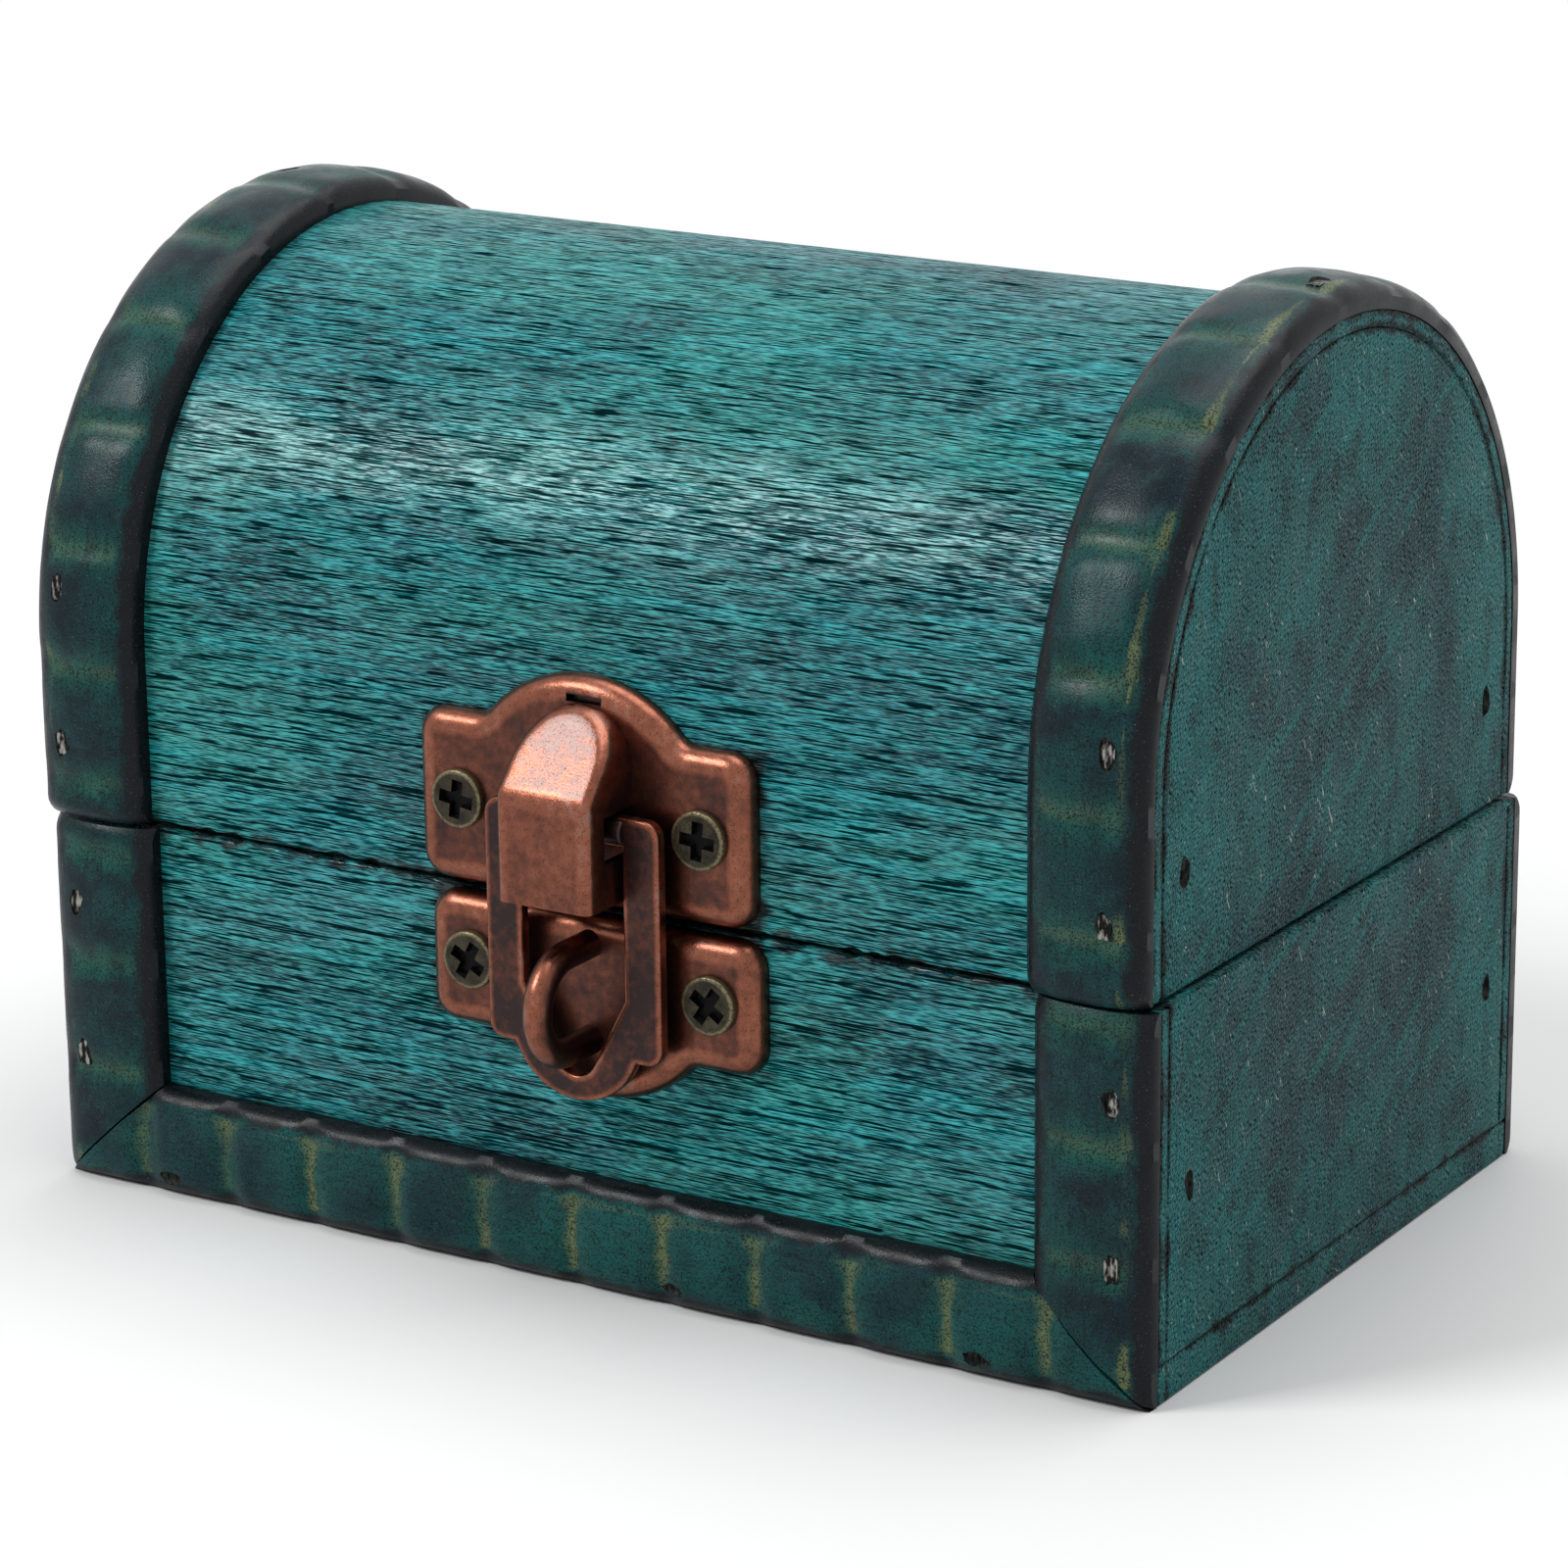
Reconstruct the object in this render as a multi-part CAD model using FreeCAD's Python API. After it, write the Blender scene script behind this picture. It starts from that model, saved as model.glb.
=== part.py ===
import FreeCAD
import Part
import math
import os

# A small domed wooden trinket chest with a copper hasp latch, in millimetres.
# X runs along the chest, the front faces -Y, Z is up, and the origin is the middle of the underside.

Vec = FreeCAD.Vector
os.makedirs("parts", exist_ok=True)

# Chest: the depth is measured over the front and back sheets
chest_width = 90.0
chest_depth = 54.5
seam_height = 27.5
seam_gap = 0.3
spring_height = 40.8
lid_offset = -0.6

# Wood thicknesses
sheet_thickness = 1.2
end_thickness = 5.0
board_thickness = 6.0
bottom_thickness = 2.8
rail_height = 11.0

# Half-round edge bands, carved into a row of pillows by cross grooves
band_width = 8.8
band_edge = 0.9
band_crown = 2.4
band_flats = 6
bottom_band_width = 8.0
band_end_bevel = 1.2
pillow_length = 7.6
groove_depth = 0.6
groove_width = 2.2

# Brads: flat nails, driven until the head lies below the wood
brad_length = 1.8
brad_width = 1.0
brad_bite = 6.0
brad_sink = 0.4
lid_band_brad_shares = (0.05, 0.15, 0.5, 0.85, 0.95)
base_band_brad_shares = (0.36, 0.78)
bottom_band_brad_shares = (-0.39, 0.09, 0.36)
base_end_brad_share = 0.52
lid_end_brad_share = 0.72

# Latch plates: heights are measured from the seam
latch_offset = 1.8
plate_width = 27.0
plate_rise = 1.6
plate_metal = 0.8
upper_plate_gap = 0.55
lower_plate_gap = 0.2
plate_corner = 2.0
plate_rim = 0.7
lobe_radius = 10.5
lobe_blend = 1.6
upper_ear_height = 12.9
upper_lobe_height = 16.7
lower_ear_depth = 9.8
lower_lobe_depth = 13.4
plate_screw_spacing = 19.6
upper_screw_height = 6.8
lower_screw_depth = 4.75

# Latch hood: a pressed cap that holds the bar of the hasp
hood_width = 7.6
hood_metal = 0.8
hood_front = 5.5
hood_bottom = 2.0
hood_fold = 9.6
hood_top = 15.0
hood_crest = 1.6
hood_bevel = 0.7
hood_notch_front = 3.3
hood_notch_low = 5.8
hood_notch_high = 8.4
hood_tab_width = 2.6
hood_tab_rise = 0.5

# Hasp: a flat slotted link on a round bar
hasp_metal = 1.0
hasp_stand_off = 1.5
hasp_width = 14.1
hasp_top = 8.05
hasp_bar_height = 7.0
hasp_bar_radius = 1.0
hasp_slot_width = 8.3
hasp_slot_taper = 4.9
hasp_eye_radius = 1.65
hasp_eye_bottom = 10.97
hasp_shoulder = 9.3
hasp_ring_radius = 5.2
hasp_bottom = 12.75
hasp_corner = 1.2

# Staple: a bent loop of eight-sided wire that stands through the slot of the hasp
staple_wire = 2.2
staple_sides = 8
staple_legs = 6.9
staple_middle = 5.5
staple_reach = 7.5

# Countersunk screws
latch_screw_head = 4.3
latch_screw_shank = 2.2
latch_screw_length = 6.0
hinge_screw_head = 3.0
hinge_screw_shank = 1.5
hinge_screw_length = 4.5
screw_crown_share = 0.12
screw_sides = 12

# Back hinges
hinge_band_gap = 6.2
hinge_length = 16.0
hinge_leaf_height = 8.0
hinge_metal = 0.8
hinge_knuckle = 3.2
hinge_pin = 1.5
hinge_screw_spacing = 9.6
hinge_screw_share = 0.48
knuckle_shares = (0.0, 0.3, 0.7, 1.0)

# Clearances and the overrun of every cut
screw_fit = 0.05
pin_fit = 0.05
staple_fit = 0.05
tab_fit = 0.1
knuckle_gap = 0.2
hinge_wall_gap = 0.2
overrun = 1.0

# Places that several pieces share
half_width = chest_width / 2
half_depth = chest_depth / 2
lid_bottom = seam_height + seam_gap
inner_half_depth = half_depth - sheet_thickness
inner_half_width = half_width - end_thickness
straight_wall = spring_height - lid_bottom
dome_run = math.pi * half_depth
band_run = straight_wall + dome_run + straight_wall
brad_x = half_width - end_thickness / 2
plate_face = half_depth + plate_rise
upper_plate_middle = latch_offset + lid_offset
bar_y = -plate_face - hasp_stand_off
hinge_y = half_depth + hinge_wall_gap + hinge_knuckle / 2
hinge_z = seam_height + seam_gap / 2
band_start = half_width - band_width
hinge_spacing = 2 * (band_start - hinge_band_gap) - hinge_length


def block(x_range, y_range, z_range):
    """A box between two limits on each axis."""
    corner = Vec(x_range[0], y_range[0], z_range[0])
    sizes = (x_range[1] - x_range[0], y_range[1] - y_range[0], z_range[1] - z_range[0])
    return Part.makeBox(*sizes, corner)


def prism(points, travel):
    """A closed straight-sided outline pushed along a vector."""
    return flat_face(points).extrude(travel)


def rod_x(radius, middle, length):
    """A round bar along X, centred on a point."""
    start = middle - Vec(length / 2, 0, 0)
    return Part.makeCylinder(radius, length, start, Vec(1, 0, 0))


def many_sided(radius, level, sides):
    """The corners of a regular many-sided ring about the Y axis."""
    turn = 2 * math.pi / sides
    points = []
    for step in range(sides):
        angle = turn * (step + 1 / 2)
        points.append(Vec(radius * math.cos(angle), level, radius * math.sin(angle)))
    return points


def flat_face(points):
    """A flat face inside a closed straight-sided outline."""
    return Part.Face(Part.makePolygon(points + points[:1]))


def ring_solid(rings):
    """A solid with flat sides through a row of rings that have as many corners each."""
    faces = [flat_face(rings[0]), flat_face(rings[-1])]
    for near, far in zip(rings, rings[1:]):
        for step in range(len(near)):
            before = step - 1
            faces.append(flat_face([near[before], near[step], far[step], far[before]]))
    solid = Part.Solid(Part.makeShell(faces))
    if solid.Volume < 0:
        solid.reverse()
    return solid


def mirrored_x(shape):
    """The same piece for the other end of the chest."""
    return shape.mirror(Vec(0, 0, 0), Vec(1, 0, 0))


def on_lid(shape):
    """Move a piece with the lid, which sits a little off centre on the base."""
    return shape.translated(Vec(lid_offset, 0, 0))


def edges_along_y(shape):
    """The straight edges of a shape that run front to back."""
    found = []
    near = Part.Precision.approximation()
    for edge in shape.Edges:
        box = edge.BoundBox
        if box.XLength < near and box.ZLength < near:
            found.append(edge)
    return found


def edges_at_y(shape, level):
    """The edges that lie in one plane facing the front."""
    found = []
    near = Part.Precision.approximation()
    for edge in shape.Edges:
        box = edge.BoundBox
        if abs(box.YMin - level) < near and abs(box.YMax - level) < near:
            found.append(edge)
    return found


def save(name, *solids):
    """Write one piece, or one group of like pieces, to its own file."""
    shape = solids[0] if len(solids) == 1 else Part.makeCompound(list(solids))
    shape.exportStep("parts/" + name + ".step")


# Edge bands

def band_face(width):
    """The half-round section of a band at the origin, standing in -Y, as wide as asked along X.

    The round is a row of flats with their corners on one arc.
    """
    rise = band_crown - band_edge
    radius = (width * width / 4 + rise * rise) / (2 * rise)
    half_turn = math.asin(width / 2 / radius)
    points = [Vec(width, 0, 0), Vec(0, 0, 0)]
    for step in range(band_flats + 1):
        angle = half_turn * (2 * step / band_flats - 1)
        x = width / 2 + radius * math.sin(angle)
        y = radius - band_crown - radius * math.cos(angle)
        points.append(Vec(x, y, 0))
    return flat_face(points)


def groove_places(run):
    """Even places along a run that cut it into whole pillows of about the wanted length."""
    count = max(2, round(run / pillow_length))
    return [run * step / count for step in range(1, count)]


def groove(width):
    """A wedge that cuts one cross groove into a band that starts at the origin and runs along Z."""
    floor = -band_crown + groove_depth
    mouth = -band_crown - overrun
    flare = groove_width / 2 * (floor - mouth) / groove_depth
    points = [Vec(-overrun, floor, 0), Vec(-overrun, mouth, flare), Vec(-overrun, mouth, -flare)]
    return prism(points, Vec(width + 2 * overrun, 0, 0))


def carved_band(width, run):
    """A straight band along Z from the origin, carved into pillows."""
    grooves = [groove(width).translated(Vec(0, 0, place)) for place in groove_places(run)]
    return band_face(width).extrude(Vec(0, 0, run)).cut(grooves)


brad_head_level = band_crown - brad_sink
band_brad_length = brad_head_level + sheet_thickness + brad_bite


def place_on_band(run):
    """A placement on the lid's front wall, dome or back wall, with -Y of the placed shape pointing out."""
    if run <= straight_wall:
        middle = Vec(0, 0, lid_bottom + run)
        turn = 0
    elif run <= straight_wall + dome_run:
        middle = Vec(0, 0, spring_height)
        turn = (run - straight_wall) / half_depth
    else:
        middle = Vec(0, 0, lid_bottom + band_run - run)
        turn = math.pi
    turning = FreeCAD.Rotation(Vec(1, 0, 0), -math.degrees(turn))
    return FreeCAD.Placement(middle + turning.multVec(Vec(0, -half_depth, 0)), turning)


def brad(length):
    """A flat nail with its head at the origin facing -Y and its length along +Y."""
    return block((-brad_width / 2, brad_width / 2), (0, length), (-brad_length / 2, brad_length / 2))


def brad_pit():
    """The open pit that a driven head leaves in the wood over it."""
    depth = overrun + band_crown
    return block((-brad_width / 2, brad_width / 2), (-depth, 0), (-brad_length / 2, brad_length / 2))


def placed(shape, placement):
    """A copy of a shape at a placement."""
    return shape.transformed(placement.toMatrix(), True)


def shifted(x, y):
    """A placement that only moves."""
    return FreeCAD.Placement(Vec(x, y, 0), FreeCAD.Rotation())


turned_back = FreeCAD.Placement(Vec(0, 0, 0), FreeCAD.Rotation(Vec(0, 0, 1), 180))
turned_right = FreeCAD.Placement(Vec(0, 0, 0), FreeCAD.Rotation(Vec(0, 0, 1), 90))
laid_flat = FreeCAD.Rotation(Vec(0, 1, 0), 90)

# Places of the band brads on the right-hand side, as placements of a brad
lid_band_brad_places = [
    place_on_band(band_run * share).multiply(shifted(brad_x, -brad_head_level))
    for share in lid_band_brad_shares
]
base_band_brad_places = []
for share in base_band_brad_shares:
    front_place = FreeCAD.Placement(
        Vec(brad_x, -half_depth - brad_head_level, seam_height * share), FreeCAD.Rotation())
    back_place = FreeCAD.Placement(
        Vec(brad_x, half_depth + brad_head_level, seam_height * share), turned_back.Rotation)
    base_band_brad_places += [front_place, back_place]
bottom_band_brad_places = [
    FreeCAD.Placement(Vec(chest_width * share, -half_depth - band_edge, bottom_thickness / 2), laid_flat)
    for share in bottom_band_brad_shares
]

# Places of the brads through the right-hand end panels into the boards behind the sheets
end_brad_y = inner_half_depth - board_thickness / 2
end_brad_length = end_thickness - brad_sink + brad_bite


def end_brad_places(height):
    """Placements of the front and the back brad of one right-hand end panel."""
    return [
        FreeCAD.Placement(Vec(half_width - brad_sink, y, height), turned_right.Rotation)
        for y in (-end_brad_y, end_brad_y)
    ]


base_end_brad_places = end_brad_places(seam_height * base_end_brad_share)
lid_end_brad_places = end_brad_places(lid_bottom + rail_height * lid_end_brad_share)


def both_ends(shapes):
    """Shapes of the right-hand end and their mirror images at the left-hand end."""
    return shapes + [mirrored_x(shape) for shape in shapes]


def brads_at(places, length):
    """Nails at a list of placements."""
    return [placed(brad(length), place) for place in places]


def brad_pits_at(places):
    """The pits over nails at a list of placements."""
    return [placed(brad_pit(), place) for place in places]


lid_band_brads = both_ends(brads_at(lid_band_brad_places, band_brad_length))
base_band_brads = both_ends(brads_at(base_band_brad_places, band_brad_length))
bottom_band_brads = brads_at(bottom_band_brad_places, band_edge + brad_bite)
base_end_brads = both_ends(brads_at(base_end_brad_places, end_brad_length))
lid_end_brads = both_ends(brads_at(lid_end_brad_places, end_brad_length))

# Right-hand bands of the lid: up the front wall, over the dome and down the back wall
straight_band = band_face(band_width).extrude(Vec(0, 0, straight_wall))
front_wall_band = straight_band.translated(Vec(band_start, -half_depth, lid_bottom))
back_wall_band = placed(straight_band, turned_back)
back_wall_band.translate(Vec(half_width, half_depth, lid_bottom))
dome_section = band_face(band_width)
dome_section.translate(Vec(band_start, -half_depth, spring_height))
dome_band = dome_section.revolve(Vec(0, 0, spring_height), Vec(1, 0, 0), -180)
lid_band_blank = front_wall_band.fuse([dome_band, back_wall_band]).removeSplitter()
lid_grooves = []
for run in groove_places(band_run):
    lid_grooves.append(placed(groove(band_width).translated(Vec(band_start, 0, 0)), place_on_band(run)))

# The outer corners of the band ends are bevelled at the seam, which lets the lid tip back
bevel_start = half_depth + band_crown - band_end_bevel
bevel_end = half_depth + band_crown + overrun


def seam_bevels(level, direction):
    """Wedges that bevel the band ends at the front and the back of the seam."""
    reach = bevel_end - bevel_start
    wedges = []
    for side in (-1, 1):
        points = [
            Vec(band_start - overrun, side * bevel_start, level),
            Vec(band_start - overrun, side * bevel_end, level),
            Vec(band_start - overrun, side * bevel_end, level + direction * reach),
        ]
        wedges.append(prism(points, Vec(band_width + 2 * overrun, 0, 0)))
    return wedges


lid_band = lid_band_blank.cut(lid_grooves)
lid_band = lid_band.cut(seam_bevels(lid_bottom, 1) + brad_pits_at(lid_band_brad_places))
save("lid_band_right", on_lid(lid_band))
save("lid_band_left", on_lid(mirrored_x(lid_band)))
save("lid_band_brads", *[on_lid(nail) for nail in lid_band_brads])

# Right-hand bands of the base: the front one is mitred with the bottom band
base_band_blank = carved_band(band_width, seam_height)
base_band_front = base_band_blank.translated(Vec(band_start, -half_depth, 0))
base_band_back = placed(base_band_blank, turned_back)
base_band_back.translate(Vec(half_width, half_depth, 0))
mitre_travel = Vec(0, -band_crown - overrun, 0)
mitre_waste = prism([
    Vec(half_width, -half_depth, 0),
    Vec(band_start, -half_depth, bottom_band_width),
    Vec(band_start - overrun, -half_depth, bottom_band_width),
    Vec(band_start - overrun, -half_depth, -overrun),
    Vec(half_width, -half_depth, -overrun),
], mitre_travel)
base_end_waste = seam_bevels(seam_height, -1) + brad_pits_at(base_band_brad_places)
base_band_front = base_band_front.cut([mitre_waste] + base_end_waste)
base_band_back = base_band_back.cut(base_end_waste)
save("base_front_band_right", base_band_front)
save("base_front_band_left", mirrored_x(base_band_front))
save("base_back_band_right", base_band_back)
save("base_back_band_left", mirrored_x(base_band_back))

# Bottom band along the front, between the two mitres
bottom_band_blank = placed(
    carved_band(bottom_band_width, chest_width), FreeCAD.Placement(Vec(0, 0, 0), laid_flat))
bottom_band_blank.translate(Vec(-half_width, -half_depth, bottom_band_width))
mitred_plan = prism([
    Vec(-half_width, -half_depth, 0),
    Vec(half_width, -half_depth, 0),
    Vec(band_start, -half_depth, bottom_band_width),
    Vec(-band_start, -half_depth, bottom_band_width),
], mitre_travel)
bottom_band = bottom_band_blank.common(mitred_plan).cut(brad_pits_at(bottom_band_brad_places))
save("bottom_band", bottom_band)
save("base_band_brads", *base_band_brads, *bottom_band_brads)


# Screws

def screw_ring(radius, level):
    """One many-sided ring of a screw, square to Y."""
    return many_sided(radius, level, screw_sides)


def screw(head, shank, length):
    """A countersunk screw with the rim of its head at the origin, its crown in -Y and its shank in +Y."""
    crown = head * screw_crown_share
    cone = (head - shank) / 2
    rings = [
        screw_ring(head / 2 - crown, -crown),
        screw_ring(head / 2, 0),
        screw_ring(shank / 2, cone),
        screw_ring(shank / 2, length),
    ]
    return ring_solid(rings)


def screw_seat(head, shank, length):
    """The countersunk hole for a screw in metal, a running fit larger all round."""
    cone = (head - shank) / 2
    rings = [
        screw_ring(head / 2 + screw_fit, -overrun),
        screw_ring(head / 2 + screw_fit, 0),
        screw_ring(shank / 2 + screw_fit, cone),
        screw_ring(shank / 2 + screw_fit, length),
    ]
    return ring_solid(rings)


latch_screw_sizes = (latch_screw_head, latch_screw_shank, latch_screw_length)
hinge_screw_sizes = (hinge_screw_head, hinge_screw_shank, hinge_screw_length)


def latch_screw_places(middle, height):
    """Where the two screws of a latch plate sit."""
    places = []
    for side in (-1, 1):
        point = Vec(middle + side * plate_screw_spacing / 2, -plate_face, seam_height + height)
        places.append(FreeCAD.Placement(point, FreeCAD.Rotation()))
    return places


def hinge_screw_places(height):
    """Where the screws of both hinges sit on one side of the seam."""
    places = []
    for hinge in (-1, 1):
        for side in (-1, 1):
            x = hinge * hinge_spacing / 2 + side * hinge_screw_spacing / 2
            places.append(FreeCAD.Placement(Vec(x, half_depth + hinge_metal, height), turned_back.Rotation))
    return places


def screws_at(places, sizes):
    """Screws at a list of placements."""
    return [placed(screw(*sizes), place) for place in places]


def screw_seats_at(places, sizes):
    """Screw holes in metal at a list of placements."""
    return [placed(screw_seat(*sizes), place) for place in places]


hinge_leaf_start = hinge_knuckle / 2 + knuckle_gap
hinge_screw_height = hinge_leaf_start + hinge_leaf_height * hinge_screw_share
upper_latch_places = latch_screw_places(upper_plate_middle, upper_screw_height)
lower_latch_places = latch_screw_places(latch_offset, -lower_screw_depth)
lid_hinge_places = hinge_screw_places(hinge_z + hinge_screw_height)
base_hinge_places = hinge_screw_places(hinge_z - hinge_screw_height)
save("latch_upper_screws", *screws_at(upper_latch_places, latch_screw_sizes))
save("latch_lower_screws", *screws_at(lower_latch_places, latch_screw_sizes))
save("hinge_lid_screws", *screws_at(lid_hinge_places, hinge_screw_sizes))
save("hinge_base_screws", *screws_at(base_hinge_places, hinge_screw_sizes))
upper_latch_seats = screw_seats_at(upper_latch_places, latch_screw_sizes)
lower_latch_seats = screw_seats_at(lower_latch_places, latch_screw_sizes)
lid_hinge_seats = screw_seats_at(lid_hinge_places, hinge_screw_sizes)
base_hinge_seats = screw_seats_at(base_hinge_places, hinge_screw_sizes)

# Bottom board, the full footprint of the chest
bottom_board = block((-half_width, half_width), (-half_depth, half_depth), (0, bottom_thickness))
save("bottom_board", bottom_board)

# Base end panels, standing on the bottom board between the sheets
base_end = block(
    (inner_half_width, half_width), (-inner_half_depth, inner_half_depth), (bottom_thickness, seam_height))
base_end = base_end.cut(brad_pits_at(base_end_brad_places))
save("base_end_right", base_end)
save("base_end_left", mirrored_x(base_end))
save("base_end_brads", *base_end_brads)

# Base front and back boards between the end panels, and the thin sheets glued over them
board_face = inner_half_depth - board_thickness
base_front_board = block(
    (-inner_half_width, inner_half_width), (-inner_half_depth, -board_face), (bottom_thickness, seam_height))
base_back_board = block(
    (-inner_half_width, inner_half_width), (board_face, inner_half_depth), (bottom_thickness, seam_height))
save("base_front_board", base_front_board)
save("base_back_board", base_back_board)
base_front_sheet = block(
    (-half_width, half_width), (-half_depth, -inner_half_depth), (bottom_thickness, seam_height))
base_back_sheet = block(
    (-half_width, half_width), (inner_half_depth, half_depth), (bottom_thickness, seam_height))
save("base_front_sheet", base_front_sheet)
save("base_back_sheet", base_back_sheet)


# Lid

def dome_solid(radius, x_range):
    """The lid's outline, straight walls under a half-round dome, between two places along X."""
    start = x_range[0]
    low_front = Vec(start, -radius, lid_bottom)
    high_front = Vec(start, -radius, spring_height)
    top = Vec(start, 0, spring_height + radius)
    high_back = Vec(start, radius, spring_height)
    low_back = Vec(start, radius, lid_bottom)
    outline = Part.Wire([
        Part.LineSegment(low_front, high_front).toShape(),
        Part.Arc(high_front, top, high_back).toShape(),
        Part.LineSegment(high_back, low_back).toShape(),
        Part.LineSegment(low_back, low_front).toShape(),
    ])
    return Part.Face(outline).extrude(Vec(x_range[1] - start, 0, 0))


# Lid end panels, round-topped boards inside the sheet
lid_end = dome_solid(inner_half_depth, (inner_half_width, half_width))
lid_end = lid_end.cut(brad_pits_at(lid_end_brad_places))
save("lid_end_right", on_lid(lid_end))
save("lid_end_left", on_lid(mirrored_x(lid_end)))
save("lid_end_brads", *[on_lid(nail) for nail in lid_end_brads])

# Lid rails behind the sheet at the front and the back, between the end panels
rail_levels = (lid_bottom, lid_bottom + rail_height)
lid_front_rail = block((-inner_half_width, inner_half_width), (-inner_half_depth, -board_face), rail_levels)
lid_back_rail = block((-inner_half_width, inner_half_width), (board_face, inner_half_depth), rail_levels)
save("lid_front_rail", on_lid(lid_front_rail))
save("lid_back_rail", on_lid(lid_back_rail))

# Lid sheet, one thin sheet bent over the end panels from the front seam to the back seam
sheet_span = (-half_width, half_width)
sheet_inside = dome_solid(inner_half_depth, (-half_width - overrun, half_width + overrun))
lid_sheet = dome_solid(half_depth, sheet_span).cut(sheet_inside)
save("lid_sheet", on_lid(lid_sheet))


# Latch plates

def plate_block(ear_low, ear_high, lobe_end, inset, rise):
    """A latch plate outline, two ears and a round lobe, pushed out from the front sheet.

    The heights are measured from the seam, and the lobe points up or down past the ears.
    """
    half_plate = plate_width / 2 - inset
    layers = (-half_depth - rise, -half_depth)
    ears = block((-half_plate, half_plate), layers, (ear_low + inset, ear_high - inset))
    upwards = lobe_end > 0
    centre = lobe_end - lobe_radius if upwards else lobe_end + lobe_radius
    lobe = Part.makeCylinder(lobe_radius - inset, rise, Vec(0, -half_depth, centre), Vec(0, -1, 0))
    lobe_half = (centre, lobe_end + overrun) if upwards else (lobe_end - overrun, centre)
    lobe = lobe.common(block((-plate_width, plate_width), layers, lobe_half))
    return ears.fuse(lobe).removeSplitter()


def rounded_plate(plate):
    """A latch plate with its outer corners rounded and its lobe blended into its ears."""
    corners = []
    meeting = []
    for edge in edges_along_y(plate):
        if abs(edge.Vertexes[0].Point.x) < lobe_radius:
            meeting.append(edge)
        else:
            corners.append(edge)
    return plate.makeFillet(plate_corner, corners).makeFillet(lobe_blend, meeting)


def latch_plate(middle, ear_low, ear_high, lobe_end, screw_height):
    """A pressed plate: a shallow pan with a rounded rim, dimpled where its screws sit."""
    pan = rounded_plate(plate_block(ear_low, ear_high, lobe_end, 0, plate_rise))
    pan = pan.makeChamfer(plate_rim, edges_at_y(pan, -plate_face))
    hollow = plate_block(ear_low, ear_high, lobe_end, plate_metal, plate_rise - plate_metal)
    dimples = []
    for side in (-1, 1):
        foot = Vec(side * plate_screw_spacing / 2, -half_depth, screw_height)
        dimples.append(Part.makeCylinder(latch_screw_head / 2, plate_rise - plate_metal, foot, Vec(0, -1, 0)))
    hollow = hollow.cut(dimples)
    return pan.cut(hollow).translated(Vec(middle, 0, seam_height))


lower_plate = latch_plate(
    latch_offset, -lower_ear_depth, -lower_plate_gap, -lower_lobe_depth, -lower_screw_depth)
staple_feet = []
for side in (-1, 1):
    foot_outline = many_sided(staple_wire / 2 + staple_fit, 0, staple_sides)
    foot = prism(foot_outline, Vec(0, -plate_rise, 0))
    leg_place = Vec(latch_offset, -half_depth, seam_height - staple_middle + side * staple_legs / 2)
    staple_feet.append(foot.translated(leg_place))
save("latch_lower_plate", lower_plate.cut(lower_latch_seats + staple_feet))

upper_plate = latch_plate(
    upper_plate_middle, upper_plate_gap, upper_ear_height, upper_lobe_height, upper_screw_height)
tab_low = seam_height + hood_top - hood_metal
tab_high = seam_height + hood_top + hood_tab_rise
tab_slot = block(
    (latch_offset - hood_tab_width / 2 - tab_fit, latch_offset + hood_tab_width / 2 + tab_fit),
    (-plate_face - overrun, -half_depth),
    (tab_low - tab_fit, tab_high + tab_fit))
save("latch_upper_plate", upper_plate.cut(upper_latch_seats + [tab_slot]))


# Latch hood

def hood_block(inset, low):
    """The hood's form: a round-topped upright, sloped back above the fold, on the face of the upper plate."""
    half_hood = hood_width / 2 - inset
    top = hood_top - inset
    front = hood_front - inset
    shoulder = top - half_hood
    outline = Part.Wire([
        Part.LineSegment(Vec(-half_hood, 0, low), Vec(half_hood, 0, low)).toShape(),
        Part.LineSegment(Vec(half_hood, 0, low), Vec(half_hood, 0, shoulder)).toShape(),
        Part.Arc(Vec(half_hood, 0, shoulder), Vec(0, 0, top), Vec(-half_hood, 0, shoulder)).toShape(),
        Part.LineSegment(Vec(-half_hood, 0, shoulder), Vec(-half_hood, 0, low)).toShape(),
    ])
    upright = Part.Face(outline).extrude(Vec(0, -front, 0))
    side = prism([
        Vec(-half_hood, 0, low),
        Vec(-half_hood, -front, low),
        Vec(-half_hood, -front, hood_fold - inset),
        Vec(-half_hood, -hood_crest + inset, top),
        Vec(-half_hood, 0, top),
    ], Vec(2 * half_hood, 0, 0))
    return upright.common(side)


hood_outer = hood_block(0, hood_bottom)
bevelled = []
for edge in hood_outer.Edges:
    box = edge.BoundBox
    on_plate = box.YMax > -Part.Precision.approximation()
    on_bottom = box.ZMax < hood_bottom + Part.Precision.approximation()
    if not on_plate and not on_bottom:
        bevelled.append(edge)
hood_outer = hood_outer.makeChamfer(hood_bevel, bevelled)
hood_shell = hood_outer.cut(hood_block(hood_metal, hood_bottom - overrun))
hood_notch = block(
    (-hood_width, hood_width), (-hood_notch_front, overrun), (hood_notch_low, hood_notch_high))
hood = hood_shell.cut(hood_notch).translated(Vec(latch_offset, -plate_face, seam_height))
hood_tab = block(
    (latch_offset - hood_tab_width / 2, latch_offset + hood_tab_width / 2),
    (-plate_face - hood_metal, -plate_face + plate_metal),
    (tab_low, tab_high))
save("latch_hood", hood.fuse(hood_tab).removeSplitter())

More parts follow.
